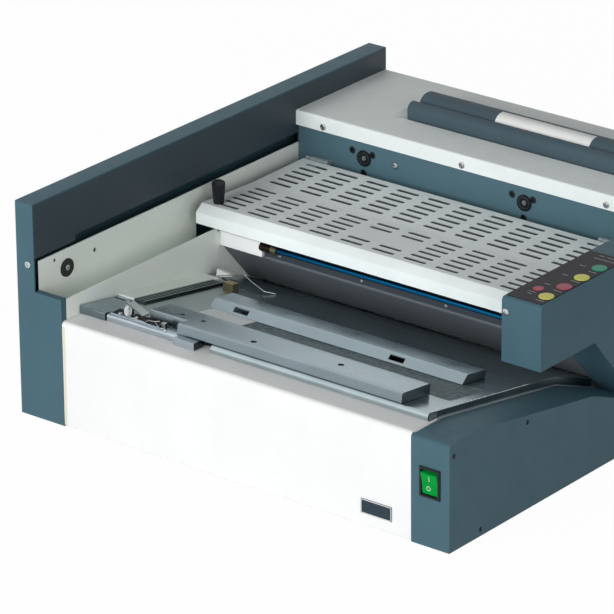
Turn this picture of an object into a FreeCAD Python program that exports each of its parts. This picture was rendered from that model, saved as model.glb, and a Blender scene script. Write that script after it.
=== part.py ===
"""Desktop perfect binding machine, built as separate pieces.

Working frame: X runs from the left face to the right face, Y from the front face to the back,
Z up from the lower edge of the covers. Each piece is moved at export, so that the origin lies
on the table surface under the middle of the machine. All sizes are in millimetres.
"""
import FreeCAD
import Part
import math
import os

V = FreeCAD.Vector

# ---------------------------------------------------------------- overall sizes
WIDTH = 560.0               # left face to right face
DEPTH = 595.0               # front face to back face
WALL_TOP = 239.0            # top of the tall left wall
FOOT_HEIGHT = 10.0
FOOT_RADIUS = 12.0
FOOT_TAPER = 1.5
FOOT_INSET = 50.0           # foot centre from the nearest faces
COVER = 2.0                 # thickness of the painted covers
SHEET = 1.5                 # thickness of the folded sheets
GAP = 0.3                   # clearance between pieces that stand side by side
RUNNING = 0.05              # radial clearance of shafts and sliding bores
PAST = 1.0                  # how far a cutter reaches past the face that it cuts
FLOOR = 2.0                 # thickness of the base pan
PAN_RIM = 12.0              # height of the pan's turned-up edges, and their distance from the corners
BEND = 1.0                  # inside radius of a fold

# ---------------------------------------------------------------- left wall
LEFT_WALL = 24.0            # thickness of the upper wall
STEP_WIDTH = 60.0           # width of the wider lower part
COLUMN_TOP = 142.0
COLUMN_DEPTH = 8.0
WALL_ROUND = 1.2
PANEL_LOW_FRONT = 178.0     # lower edge of the dark inner panel, near the front
PANEL_LOW_REAR = 185.2
PANEL_NOTCH = 66.0
PANEL_HEM = 12.0
LINER_TOP = 174.0
UPRIGHT_TOP = 140.5         # the liner's outer side, beside the table
LIP_TOP = 136.5             # the same side behind the bracket
TROUGH_FLOOR = 112.0
LINER_LOW = 40.0
LINER_BEND = 2.5
BUMPER_Y, BUMPER_Z = 51.0, 153.0
BUMPER_RADIUS = 10.0
BUMPER_HEIGHT = 1.5
BUMPER_ROUND = 0.5
BUMPER_BOLT_RADIUS = 3.2
LINER_HOLES = ((32.8, 167.0, 2.2), (96.0, 158.0, 2.6))

# ---------------------------------------------------------------- front panel and right cover
LEDGE_TOP = 118.4
LEDGE_DEPTH = 42.0
PANEL_ROUND = 5.0
SIDE_COVER_WIDTH = 47.0
RIGHT_COVER = WIDTH - SIDE_COVER_WIDTH
COVER_FRONT_TOP = 116.5
COVER_FLAT = 50.0           # level stretch behind the front corner
COVER_ROUND = 4.0
SEAM_Z = 53.3               # joint between the side cover and the housing

# ---------------------------------------------------------------- control housing
HOUSING_WIDTH = 49.0
HOUSING_LEFT = WIDTH - HOUSING_WIDTH
HOUSING_FRONT = 150.0
HOUSING_TOP = 212.0
HOUSING_LOW = 142.0
HOUSING_ROUND = 1.5
HOUSING_BEND = 5.0          # bend between the housing's top and front
OVERLAY = 0.6
OVERLAY_X = (HOUSING_LEFT + 1.6, WIDTH - 3.5)
OVERLAY_Y = (HOUSING_FRONT + HOUSING_BEND + 0.6, HOUSING_FRONT + 150.0)
OVERLAY_ROUND = 2.0
BUTTON_RADIUS = 8.0
SMALL_BUTTON_RADIUS = 5.8
BUTTON_COUNT = 4            # large buttons in the row
BUTTON_PROUD = 0.8
BUTTON_DEPTH = 7.0
BUTTON_RIM = 1.4
BUTTON_EDGE = 0.5
BUTTON_CLEARANCE = 0.4
BUTTON_ROW_X = WIDTH - 12.0
BUTTON_FIRST_Y = HOUSING_FRONT + 25.2
BUTTON_PITCH = 30.3
SMALL_BUTTON_X, SMALL_BUTTON_Y = WIDTH - 29.7, HOUSING_FRONT + 36.5
BOARD_THICK = 1.6
BOARD_STANDOFF = 6.0
BOARD_POST_RADIUS = 3.0
BOARD_POST_INSET = 5.0
BOARD_Y = (HOUSING_FRONT + 10.0, HOUSING_FRONT + 86.0)
BOARD_Z = (HOUSING_TOP - 60.0, HOUSING_TOP - 16.0)
RELAY = (12.0, 10.0, 22.0, 16.0, 8.0)   # place along Y and Z, length, height, thickness
CHIP = (42.0, 12.0, 20.0, 20.0, 3.0)

# ---------------------------------------------------------------- power switch and nameplate
SWITCH_X, SWITCH_Z = WIDTH - 23.6, 70.0
BEZEL_WIDTH, BEZEL_HEIGHT = 25.5, 32.7
BEZEL_PROUD = 2.0
BEZEL_ROUND = 1.2
BEZEL_RIM = 1.8
BEZEL_WALL = 0.8
BEZEL_DEPTH = 18.0
ROCKER_TILT = 8.0           # degrees from the middle to each side
ROCKER_RADIUS = 60.0        # hollow of the rocker's face
ROCKER_PIVOT_Y = 8.0
ROCKER_PIN = 1.5
ROCKER_SIDE_GAP = 1.9       # above and below the rocker, for its tilt
ROCKER_PROUD = 0.6          # rocker's face behind the bezel's face
ROCKER_HOLLOW = 0.5         # depth of the hollow in its face
PLATE_SIZE = (38.8, 16.2)
PLATE_X = RIGHT_COVER - 62.6
PLATE_Z = 14.0
PLATE_THICK = 0.8
PLATE_ROUND = 1.0

# ---------------------------------------------------------------- lid and clamp housing wall
LID_DEPTH = 161.7
LID_FRONT = DEPTH - LID_DEPTH
LID_TOP = 213.0
LIP_HEIGHT = 17.0
SLOT_X = (LEFT_WALL + 94.0, HOUSING_LEFT - 27.0)
SLOT_Y = (DEPTH - 111.8, DEPTH - 35.0)
SLOT_CORNER = (14.0, 6.0)   # slanted corner at the slot's front left end
RAMP_LENGTH = 16.0
RAMP_ANGLE = 24.0
RAMP_Y = (SLOT_Y[0] - SLOT_CORNER[1], SLOT_Y[0] + 28.8)
WALL_Y = LID_FRONT + 4.7    # front face of the clamp housing wall
WALL_LOW = 108.0

# ---------------------------------------------------------------- clamp
JAW_X = (SLOT_X[0] + 18.0, SLOT_X[1] - 14.0)
FRONT_JAW_Y = (SLOT_Y[0] + 3.8, SLOT_Y[0] + 16.8)
JAW_OPENING = 1.5           # between the jaws at rest
SPINE_Y = FRONT_JAW_Y[1] + JAW_OPENING / 2
REAR_JAW_FRONT = FRONT_JAW_Y[1] + JAW_OPENING
REAR_JAW_WIDTH = 32.0
REAR_JAW_BACK = REAR_JAW_FRONT + REAR_JAW_WIDTH
JAW_PLATE = 10.0
JAW_LOW = 130.0
NOSE_LOW = 200.0
FRONT_JAW_TOP = 230.0
FRONT_JAW_ROUNDS = (8.0, 3.0)
REAR_JAW_TOP = 234.8
REAR_JAW_ROUNDS = (14.0, 14.0)
REAR_NOSE_INSET = 5.0       # rear jaw's nose from the left end of its plate
JAW_ARM_Z = (186.5, 198.0)
ADJUSTER_Z = 176.0
ADJUSTER_RADIUS = 9.2
ADJUSTER_SOCKET = 3.6
ADJUSTER_PROUD = 1.5
ADJUSTER_GROOVE = (1.8, 3.6, 0.8)       # outer and inner inset, and depth
ADJUSTER_PITCH = 214.7
SMALL_ADJUSTER_RADIUS = 4.1
SMALL_ADJUSTERS = ((-16.3, 6.0), (11.2, 6.0), (-1.0, -17.5))
GUIDE_ROD_RADIUS = 6.0
GUIDE_RODS_X = (SLOT_X[0] - 3.0, SLOT_X[1] + 9.0)
ADJUSTERS_X = (GUIDE_RODS_X[0], GUIDE_RODS_X[0] + ADJUSTER_PITCH)
LUG_WIDTH = 33.0
LUG_THICK = 17.0
LUG_Z = (142.0, 186.0)
ACTUATOR_X = (GUIDE_RODS_X[0] + 8.0, GUIDE_RODS_X[1] - 8.0)
ACTUATOR_Z = 154.0
ACTUATOR_RADIUS = 11.0
ACTUATOR_LENGTH = 48.0
ACTUATOR_END = 4.0
ACTUATOR_ROD = 4.0
ACTUATOR_BOSS = 5.5
ACTUATOR_ENGAGED = 30.0     # rod length inside the housing at rest

# ---------------------------------------------------------------- hinged guard
GUARD_X = (STEP_WIDTH - 19.0, HOUSING_LEFT - 39.0)
GUARD_REACH = 197.1         # from the clamp housing wall to the guard's front edge
GUARD_FRONT = WALL_Y - GUARD_REACH
GUARD_SHEET = 1.0
GUARD_FLANGE_LOW = 145.8
GUARD_FLANGE_TOP = 158.3
GUARD_NOSE_Y, GUARD_NOSE_Z = GUARD_FRONT + 10.4, 166.0
CREASE_Y, CREASE_Z = GUARD_FRONT + 96.1, 162.3
GUARD_BACK, GUARD_BACK_Z = WALL_Y - 13.5, 163.0
GUARD_END_FLANGE = 8.0
SLOT_ROWS = 6               # in each half
SLOT_FIRST_X = GUARD_X[0] + 13.7
SLOT_PITCH_X = 41.6
SLOT_COLUMNS = int((GUARD_X[1] - SLOT_FIRST_X) / SLOT_PITCH_X)
SLOT_LENGTH = 29.0
SLOT_WIDTH = 5.0
SLOT_PITCH_Y = 12.6
FRONT_ROW_Y = GUARD_FRONT + 20.1
BACK_ROW_Y = CREASE_Y + 12.8
BLANK_COLUMNS = (4, 5)      # no slots where the plain label field lies
BLANK_ROWS = (2, 3)
KNOB_X, KNOB_Y = GUARD_X[0] + 14.4, GUARD_FRONT + 21.1
KNOB_HEIGHT = 25.0
KNOB_BASE_RADIUS = 5.8
KNOB_TOP_RADIUS = 7.6
KNOB_ROUND = 3.0
KNOB_SEAT = 0.25
KNOB_STUD_RADIUS = 2.5
KNOB_STUD_BELOW = 4.0
HINGE_WIDTH = 30.0
HINGE_INSET = 10.0          # right hinge from the guard's right edge
HINGE_Y, HINGE_Z = WALL_Y - 7.0, 161.5
HINGE_RADIUS = 3.0
HINGE_PIN = 1.5
LEAF = 1.2
LEAF_LENGTH = 16.0
LEAF_SEAT = 0.1
LEAF_RISE = 1.0
KNUCKLE_END = 5.0           # length of each fixed knuckle

# ---------------------------------------------------------------- chute and front beam
BEAM_Y = GUARD_FRONT + 21.1
BEAM_LOW = 120.5
BEAM_TOP = 146.0
BEAM_HEM = 14.0
CHUTE_TOP_Y, CHUTE_TOP_Z = BEAM_Y - 2.0, 120.0
CHUTE_LOW_Y = CHUTE_TOP_Y + 43.0
CHUTE_HEM = 11.0
CHUTE_CLEARANCE = 1.1       # above the table
ROD_Y, ROD_Z = BEAM_Y - 5.2, 133.0
ROD_RADIUS = 3.0
FITTING_RADIUS = 5.0
FITTING_LENGTHS = (22.0, 10.5)           # left and right end of the rod
BRACKET_X = (STEP_WIDTH + 0.5, STEP_WIDTH + 57.5)
BRACKET_THICK = 5.0
BRACKET_ROUND = 0.8
BRACKET_Z = (120.0, 136.8)
CURB_END = BEAM_Y - 8.0     # rear end of the liner's trough and high outer side
LIP_END = CHUTE_LOW_Y + 27.0
LINER_WINDOW = (CURB_END + 7.0, LIP_END, 150.0)     # front, back and top of the opening in the liner
LINER_WINDOW_ROUND = 8.0

# ---------------------------------------------------------------- cover table
TABLE_X = (STEP_WIDTH + 1.0, RIGHT_COVER - 0.5)
TABLE_FRONT = 27.5
TABLE_EDGE_Y, TABLE_EDGE_Z = 31.0, 127.8
TABLE_SLOPE = 9.37          # degrees, down to the back
TABLE_KNEE = BEAM_Y - 21.0
STEEP_SLOPE = 21.1
TABLE_END = CHUTE_LOW_Y + 2.0
HEM_SEAT = 0.5              # hem's clearance over the ledge
HEM_HEIGHT = 9.2
HEM_RETURN = 14.0
HEM_BEND = 2.4
TABLE_FLANGE = 9.0
FLANGE_START = 15.0
HEM_START = 236.0           # the rolled hem runs from here to the right end
NOTCH_DEPTH = 40.5
BLOCK_X = (STEP_WIDTH + 1.0, STEP_WIDTH + 35.5)
BLOCK_BACK = 80.0
BLOCK_NOTCH = (BLOCK_X[1] + 2.0, BLOCK_BACK + 2.0)
BLOCK_DROP = 0.4            # block's top below the table's line
BLOCK_ROUND = 1.5
STRIP_X = (150.0, TABLE_X[1] - 12.5)
STRIP_S = (50.0, 108.0)     # distances down the table from its front edge
RAIL_X = (83.0, 98.0)
RAIL_S = (58.0, 188.0)
RAIL_HEIGHT = 2.5
RAIL_GROOVES = (3.2, 6.9, 10.6)         # distances from the rail's left side
RAIL_GROOVE = (1.4, 1.2)                # width and depth
TABLE_HOLES = ((354.4, 160.5, 3.0), (145.1, 163.2, 4.0))
FEED_BLOCK_S = (TABLE_KNEE - 35.0, TABLE_KNEE - 29.0)
LINER_FOOT_X = (STEP_WIDTH - SHEET, RAIL_X[0] - GAP)    # liner's foot on the table, beside the rail
LINER_FOOT_S = (RAIL_S[0] + 2.0, FEED_BLOCK_S[0] - 6.0)
FEED_BLOCK_OUTLINE = ((73.0, 0.0), (78.0, 0.0), (94.0, 5.0), (94.0, 6.2), (73.0, 8.6))
NUT_X = (107.0, 120.0)
NUT_S = (FEED_BLOCK_S[0] - 31.0, FEED_BLOCK_S[0] - 20.0)
NUT_HEIGHT = 7.5
WIRE_RADIUS = 0.6
WIRE_POINTS = ((76.0, 3.0, 1.5), (76.0, -1.0, 1.5), (110.0, -1.3, 11.8), (127.0, -5.5, 7.0),
               (146.0, -9.0, 2.6), (155.0, -1.0, 0.9))      # X, distance behind the block's front, height

# ---------------------------------------------------------------- nipping plates
PLATE_LIFT = 0.35           # sliding clearance over the table
NIP_BEND = 0.8
FRONT_NIP_X = (188.0, TABLE_X[1] - 36.5)
FRONT_NIP_S = (1.5, 48.0)
FRONT_NIP_HEIGHTS = (10.5, 12.8)
FRONT_NIP_EAR = (140.0, 15.5)
FRONT_NIP_HOLES = ((276.6, 15.0, 3.4), (381.0, 25.0, 3.4), (200.4, 27.6, 2.6), (172.3, 28.4, 2.6))
REAR_NIP_X = (146.0, TABLE_X[1] - 38.5)
REAR_NIP_S = (105.5, 145.0)
REAR_NIP_BEVEL = 8.0
REAR_NIP_HEIGHT = 9.8
SLOT_SIZE = (19.0, 4.6, 5.0)            # set-screw windows in the bevel of the rear plate
SLOT_CENTRES = (185.0, 388.0)

# ---------------------------------------------------------------- side lay and its lock lever
LAY_X = (BLOCK_X[1] + 2.5, 191.0)
LAY_BACK = NOTCH_DEPTH - 1.0
LAY_TOP = 127.1
LAY_FLAT = TABLE_FRONT + 6.5            # behind this line the top falls with the table
LAY_DROP = 0.1              # back edge of the top below the table's line
LAY_ROUND = 2.4
LAY_CLIP_X = (LAY_X[1], 218.0)
LAY_CLIP_FRONT = 22.7
LAY_PLATE_X = (LAY_X[0] + 2.0, 164.0)
LAY_PLATE_Y = (TABLE_FRONT + 4.0, 44.5)
LAY_PLATE_THICK = 1.6
LEVER_X, LEVER_Y = 119.0, 40.0
LEVER_LENGTH = 44.0
LEVER_WIDTH = 9.0
LEVER_ROUND = 3.9
LEVER_THICK = 2.0
LEVER_LIFT = 14.0
LEVER_ANGLE = -24.0
LEVER_PIN = 2.0
LEVER_PIN_ABOVE = 1.5
LEVER_BOSS = 4.5

# ---------------------------------------------------------------- right inner panel and rear panel
INNER_PANEL_X = GUARD_X[1] + 4.0
INNER_PANEL_TOP = 157.0
INNER_PANEL_LOW = 75.0
INNER_PANEL_START = BEAM_Y + 3.0
BEND_ROOM = 3.0             # clearance of the inner panel from the chute and the beam
REAR_PANEL_Y = DEPTH - COVER - SHEET
VENT_COUNT = 9
VENT_LENGTH = 46.0
VENT_WIDTH = 4.0
VENT_GAP = 6.0
VENT_PITCH = 9.0
VENT_GROUPS_X = (LEFT_WALL + 66.0, HOUSING_LEFT - 181.0)
VENT_LOW_Z = 60.0
INLET_X, INLET_Z = HOUSING_LEFT - 41.0, 34.0
INLET_FLANGE = (50.0, 24.0)
INLET_ROUND = 4.0
INLET_BODY = (27.0, 19.5)
INLET_CAVITY = (24.5, 16.5)
INLET_DEPTH = 22.0
INLET_CAVITY_DEPTH = 16.0
INLET_PROUD = 2.0
INLET_PIN = (2.0, 4.0, 12.0)
INLET_PIN_PLACES = ((-7.0, -2.0), (7.0, -2.0), (0.0, 3.0))

# ---------------------------------------------------------------- glue and milling carriage
FRAME_X = (STEP_WIDTH + 6.0, HOUSING_LEFT - 6.0)
FRAME_THICK = 3.0
FRAME_TOP = 205.0
FRAME_WINDOW = 24.0
FRAME_WINDOW_Z = 100.0
RAIL_RADIUS = 8.0
RAILS_Y = (SPINE_Y - 41.0, SPINE_Y + 41.0)
RAILS_Z = 24.0
CARRIAGE_X = (FRAME_X[0] + 6.0, FRAME_X[0] + 146.0)
CARRIAGE_Y = (SPINE_Y - 55.0, SPINE_Y + 55.0)
CARRIAGE_Z = 36.0
CARRIAGE_THICK = 6.0
BEARING_HALF = 12.0
NUT_HALF = 8.0
NUT_INSET = 40.0
SCREW_RADIUS = 5.0
SCREW_Z = 22.0
SCREW_PAST = 3.0            # drive screw past the right frame plate
MOTOR_X = (LEFT_WALL + 6.0, FRAME_X[0] - 2.0)
MOTOR_HALF = 18.0
MOTOR_ROUND = 3.0
MOTOR_NECK = 9.0
SHAFT_IN_MOTOR = 14.0
SHAFT_END_GAP = 1.0
CUTTER_X = CARRIAGE_X[0] + 34.0
CUTTER_MOTOR_RADIUS = 27.0
CUTTER_MOTOR_TOP = 98.0
CUTTER_RIB = (1.0, 2.0, 8.0)            # half width, height over the body, distance from its ends
CUTTER_RADIUS = 32.0
CUTTER_Z = (104.0, 111.0)
CUTTER_TEETH = 12
CUTTER_TOOTH = (8.0, 5.0, 4.0)
CUTTER_TOOTH_INSET = 1.0
CUTTER_SHAFT = 5.0
CUTTER_SHAFT_IN = 18.0
CUTTER_BORE_PAST = 2.0
TANK_X = (CARRIAGE_X[0] + 70.5, CARRIAGE_X[0] + 136.5)
TANK_Y = (SPINE_Y - 33.0, SPINE_Y + 33.0)
TANK_TOP = 106.0
TANK_WALL = 3.0
ROLLER_Z = 101.0
ROLLER_RADIUS = 14.0
ROLLER_SHAFT = 4.0
ROLLER_END_GAP = 3.0
ROLLER_SIDE_GAP = 0.5
ROLLERS_X = tuple(edge + side * (TANK_WALL + ROLLER_SIDE_GAP + ROLLER_RADIUS)
                  for edge, side in zip(TANK_X, (1, -1)))

# ---------------------------------------------------------------- fasteners
SCREW_HEAD_RADIUS = 3.8
SCREW_HEAD_HEIGHT = 2.2
WALL_SCREW_HEIGHT = 1.9
SMALL_HEAD_RADIUS = 2.2
SMALL_HEAD_HEIGHT = 1.6
HEAD_ROUNDING = 0.6         # rounding of a head's rim as a share of its height
LIP_SCREW_FIRST = 62.3
LIP_SCREW_LAST = HOUSING_LEFT - 72.4
LIP_SCREWS_X = (LIP_SCREW_FIRST, (LIP_SCREW_FIRST + LIP_SCREW_LAST) / 2, LIP_SCREW_LAST)
LIP_SCREW_Z = 201.7
WALL_SCREW = (16.3, 171.1)
HOUSING_SCREW = (HOUSING_LEFT + 6.0, 196.4)
CLAMP_WALL_SCREW = (157.4, 177.2)
BEAM_STUD_FIRST = 138.4
BEAM_STUD_PITCH = 110.2
BEAM_STUD_Z = 124.6
BLACK_SCREWS = ((129.0, 95.5), (7.2, 102.8), (51.4, 7.5), (340.0, 22.0), (520.0, 22.0), (420.0, 180.0))
BLACK_HEAD_RADIUS = 2.8
BLACK_HEAD_DEPTH = 2.0
BLACK_HEAD_SUNK = 0.2
BLACK_SLOT = (1.0, 1.0)     # width and depth

# ---------------------------------------------------------------- derived places
def table_height(y):
    """Height of the table's upper face at a distance from the front."""
    gentle = math.tan(math.radians(TABLE_SLOPE))
    steep = math.tan(math.radians(STEEP_SLOPE))
    return TABLE_EDGE_Z - (min(y, TABLE_KNEE) - TABLE_EDGE_Y) * gentle - max(y - TABLE_KNEE, 0.0) * steep


KNEE_Y, KNEE_Z = TABLE_KNEE, table_height(TABLE_KNEE) - 9.15
SEAM_Y = CHUTE_LOW_Y + 16.0
HOUSING_BEND_Y = KNEE_Y + 2.0
CHUTE_LOW_Z = table_height(CHUTE_LOW_Y) + CHUTE_CLEARANCE
NODES = {}


# ================================================================ drawing helpers
def point(axis, u, v, w=0.0):
    """Place a flat point (u, v) at height w along the axis that the section is drawn across."""
    return {"x": V(w, u, v), "y": V(u, w, v), "z": V(u, v, w)}[axis]


def block(x, y, z):
    """Box between three pairs of limits."""
    return Part.makeBox(x[1] - x[0], y[1] - y[0], z[1] - z[0], V(x[0], y[0], z[0]))


def rod(axis, u, v, w, radius):
    """Round bar along an axis between the two limits in w."""
    return Part.makeCylinder(radius, w[1] - w[0], point(axis, u, v, w[0]), point(axis, 0, 0, 1))


def prism(axis, points, w):
    """Straight-sided outline drawn across an axis and extruded between two limits."""
    corners = [point(axis, u, v, w[0]) for u, v in points]
    face = Part.Face(Part.makePolygon(corners + corners[:1]))
    return face.extrude(point(axis, 0, 0, w[1] - w[0]))


def offset_path(points, distance):
    """Shift an open path to the left of its direction by a distance, with mitred corners."""
    normals = []
    for (u0, v0), (u1, v1) in zip(points, points[1:]):
        length = math.hypot(u1 - u0, v1 - v0)
        normals.append((-(v1 - v0) / length, (u1 - u0) / length))
    moved = []
    for index, (u, v) in enumerate(points):
        before = normals[max(index - 1, 0)]
        after = normals[min(index, len(normals) - 1)]
        scale = distance / (1 + before[0] * after[0] + before[1] * after[1])
        moved.append((u + (before[0] + after[0]) * scale, v + (before[1] + after[1]) * scale))
    return moved


def rounded_edges(axis, points, radii, w):
    """Lines and arcs along a path whose inner corners are rounded with the given radii."""
    edges = []
    start = V(*points[0], 0)
    for index in range(1, len(points) - 1):
        corner = V(*points[index], 0)
        back = (V(*points[index - 1], 0) - corner).normalize()
        ahead = (V(*points[index + 1], 0) - corner).normalize()
        half = back.getAngle(ahead) / 2
        reach = radii[index - 1] / math.tan(half)
        middle = (back + ahead).normalize()
        centre = corner + middle * (radii[index - 1] / math.sin(half))
        first, last = corner + back * reach, corner + ahead * reach
        crown = centre - middle * radii[index - 1]
        edges.append(Part.LineSegment(point(axis, start.x, start.y, w), point(axis, first.x, first.y, w)))
        edges.append(Part.Arc(*(point(axis, p.x, p.y, w) for p in (first, crown, last))))
        start = last
    edges.append(Part.LineSegment(point(axis, start.x, start.y, w), point(axis, *points[-1], w)))
    return [edge.toShape() for edge in edges]


def folded(axis, path, w, thickness=SHEET, bend=BEND):
    """Folded sheet: the path is one face, the material lies to its left."""
    other = offset_path(path, thickness)
    path_bends, other_bends = [], []
    for before, here, after in zip(path, path[1:], path[2:]):
        turn = (here[0] - before[0]) * (after[1] - here[1]) - (here[1] - before[1]) * (after[0] - here[0])
        path_bends.append(bend + thickness if turn > 0 else bend)
        other_bends.append(bend if turn > 0 else bend + thickness)
    edges = rounded_edges(axis, path, path_bends, w[0])
    edges += rounded_edges(axis, other, other_bends, w[0])
    for start, end in ((path[0], other[0]), (path[-1], other[-1])):
        edges.append(Part.LineSegment(point(axis, *start, w[0]), point(axis, *end, w[0])).toShape())
    face = Part.Face(Part.Wire(Part.__sortEdges__(edges)))
    return face.extrude(point(axis, 0, 0, w[1] - w[0]))


def join(shapes):
    """One solid from touching shapes."""
    return shapes[0].multiFuse(shapes[1:]).removeSplitter() if len(shapes) > 1 else shapes[0]


def remove(shape, tools):
    """Cut every tool out of a shape."""
    return shape.cut(list(tools))


def round_where(shape, radius, test):
    """Round the straight edges whose middle point and direction pass a test."""
    chosen = []
    for edge in shape.Edges:
        if edge.Curve.TypeId == "Part::GeomLine":
            middle = edge.valueAt((edge.FirstParameter + edge.LastParameter) / 2)
            if test(middle, edge.tangentAt(edge.FirstParameter)):
                chosen.append(edge)
    return shape.makeFillet(radius, chosen)


def near(value, target, tolerance=0.01):
    """Tell whether a coordinate lies at a target."""
    return abs(value - target) < tolerance


def slot_cutter(x, y, z, length, width, height):
    """Upright cutter of a round-ended slot that runs along X from its left end."""
    half = width / 2
    straight = block((x + half, x + length - half), (y - half, y + half), (z, z + height))
    ends = [rod("z", x + end, y, (z, z + height), half) for end in (half, length - half)]
    return join([straight] + ends)


def on_table(shape):
    """Lay a shape drawn level, with its front edge at Y=0 and Z=0, on the sloping table."""
    laid = shape.copy()
    laid.rotate(V(0, 0, 0), V(1, 0, 0), -TABLE_SLOPE)
    laid.translate(V(0, TABLE_EDGE_Y, TABLE_EDGE_Z))
    return laid


def guard_height(y):
    """Height of the guard's upper face at a distance from the front."""
    if y < CREASE_Y:
        return GUARD_NOSE_Z + (y - GUARD_NOSE_Y) * (CREASE_Z - GUARD_NOSE_Z) / (CREASE_Y - GUARD_NOSE_Y)
    return CREASE_Z + (y - CREASE_Y) * (GUARD_BACK_Z - CREASE_Z) / (GUARD_BACK - CREASE_Y)


def button_places():
    """Centre and radius of each button, from the front one to the back one."""
    row = [(BUTTON_ROW_X, BUTTON_FIRST_Y + BUTTON_PITCH * index, BUTTON_RADIUS)
           for index in range(BUTTON_COUNT)]
    return [row[0], (SMALL_BUTTON_X, SMALL_BUTTON_Y, SMALL_BUTTON_RADIUS)] + row[1:]


def keep(name, *shapes):
    """Store the solids of one node."""
    NODES[name] = [solid for shape in shapes for solid in shape.Solids]


# ================================================================ base and covers
def base_pan():
    """Floor tray with turned-up edges and one hole for each foot stud."""
    tray = block((COVER, WIDTH - COVER), (COVER, DEPTH - COVER), (0, FLOOR))
    rims = [block((x, x + SHEET), (PAN_RIM, DEPTH - PAN_RIM), (FLOOR, FLOOR + PAN_RIM))
            for x in (COVER, WIDTH - COVER - SHEET)]
    return join([tray] + rims)


def rubber_feet():
    """Four round feet under the pan, slightly tapered."""
    feet = []
    for x in (FOOT_INSET, WIDTH - FOOT_INSET):
        for y in (FOOT_INSET, DEPTH - FOOT_INSET):
            low = V(x, y, -FOOT_HEIGHT)
            feet.append(Part.makeCone(FOOT_RADIUS - FOOT_TAPER, FOOT_RADIUS, FOOT_HEIGHT, low))
    return feet


def front_panel():
    """White front panel: front wall, rounded top edge and the ledge under the table's hem."""
    left, right = STEP_WIDTH + GAP, RIGHT_COVER - GAP
    outline = [(0, FLOOR), (0, LEDGE_TOP), (LEDGE_DEPTH, LEDGE_TOP)]
    skin = folded("x", outline[::-1], (left, right), SHEET, PANEL_ROUND - SHEET)
    web = [(SHEET / 2, FLOOR), (SHEET / 2, LEDGE_TOP - PANEL_ROUND), (PANEL_ROUND, LEDGE_TOP - SHEET / 2),
           (LEDGE_DEPTH, LEDGE_TOP - SHEET / 2), (LEDGE_DEPTH, FLOOR)]
    webs = [prism("x", web, (x, x + SHEET)) for x in (left, right - SHEET)]
    return join([skin] + webs)


def left_side_cover():
    """Tall left cover with the wider column at the front; open underneath and to the inside."""
    outer = block((0, LEFT_WALL), (0, DEPTH), (0, WALL_TOP))
    hollow = block((COVER, LEFT_WALL + PAST), (COVER, DEPTH - COVER), (-PAST, WALL_TOP - COVER))
    shell = outer.cut(hollow)
    column = block((LEFT_WALL, STEP_WIDTH), (0, COLUMN_DEPTH), (0, COLUMN_TOP))
    inside = block((LEFT_WALL - PAST, STEP_WIDTH - COVER), (COVER, COLUMN_DEPTH + PAST),
                   (-PAST, COLUMN_TOP - COVER))
    cover = join([shell, column.cut(inside)])
    pan_seat = block((STEP_WIDTH - COVER, STEP_WIDTH + PAST), (COVER, COLUMN_DEPTH + PAST), (-PAST, FLOOR))
    holes = [rod("y", *WALL_SCREW, (-PAST, COVER + PAST), SCREW_HEAD_RADIUS / 2), pan_seat]
    cover = round_where(cover, WALL_ROUND, lambda p, d: (near(p.z, WALL_TOP) or near(p.x, 0)) and
                        (near(p.y, 0) or near(p.x, 0) or near(p.y, DEPTH)) and p.z > COVER)
    return remove(cover, holes)


def left_inner_panel():
    """Dark upper panel of the left wall, with a shadow gap under it and a stepped lower edge."""
    x = (LEFT_WALL - SHEET, LEFT_WALL)
    panel = prism("x", [(COVER, WALL_TOP - COVER), (COVER, PANEL_LOW_FRONT), (PANEL_NOTCH, PANEL_LOW_FRONT),
                        (PANEL_NOTCH, PANEL_LOW_REAR), (WALL_Y, PANEL_LOW_REAR), (WALL_Y, LINER_LOW),
                        (DEPTH - COVER, LINER_LOW), (DEPTH - COVER, WALL_TOP - COVER)], x)
    hem = block((LEFT_WALL - PANEL_HEM, LEFT_WALL - SHEET), (PANEL_NOTCH, WALL_Y),
                (PANEL_LOW_REAR, PANEL_LOW_REAR + SHEET))
    return join([panel, hem])


def left_liner():
    """Beige liner of the left wall: a deep trough with an upright outer side beside the table."""
    path = [(LEFT_WALL, LINER_TOP), (LEFT_WALL, TROUGH_FLOOR), (STEP_WIDTH, TROUGH_FLOOR),
            (STEP_WIDTH, LINER_LOW)]
    sheet = folded("y", path[::-1], (COLUMN_DEPTH, WALL_Y - GAP), SHEET, LINER_BEND)
    side = (STEP_WIDTH - SHEET, STEP_WIDTH)
    low = TROUGH_FLOOR - 2 * (SHEET + LINER_BEND)
    sides = [block(side, (COLUMN_DEPTH, CURB_END), (low, UPRIGHT_TOP)),
             block(side, (CURB_END, LIP_END), (low, LIP_TOP))]
    front, back, top = LINER_WINDOW
    window = block((0, LEFT_WALL + PAST), (front, back), (LINER_LOW, top))
    cutters = [block((0, side[0]), (CURB_END, WALL_Y), (LINER_LOW, TROUGH_FLOOR + SHEET + LINER_BEND)),
               block((LEFT_WALL + PAST, STEP_WIDTH + PAST), (LIP_END, WALL_Y), (0, WALL_TOP)),
               round_where(window, LINER_WINDOW_ROUND, lambda p, d: abs(d.x) > 0.9 and near(p.z, top)),
               rod("x", BUMPER_Y, BUMPER_Z, (0, LEFT_WALL + PAST), BUMPER_BOLT_RADIUS)]
    cutters += [rod("x", y, z, (0, LEFT_WALL + PAST), radius) for y, z, radius in LINER_HOLES]
    foot = on_table(block(LINER_FOOT_X, LINER_FOOT_S, (0, SHEET)))
    return join([remove(join([sheet] + sides), cutters), foot])


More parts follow.
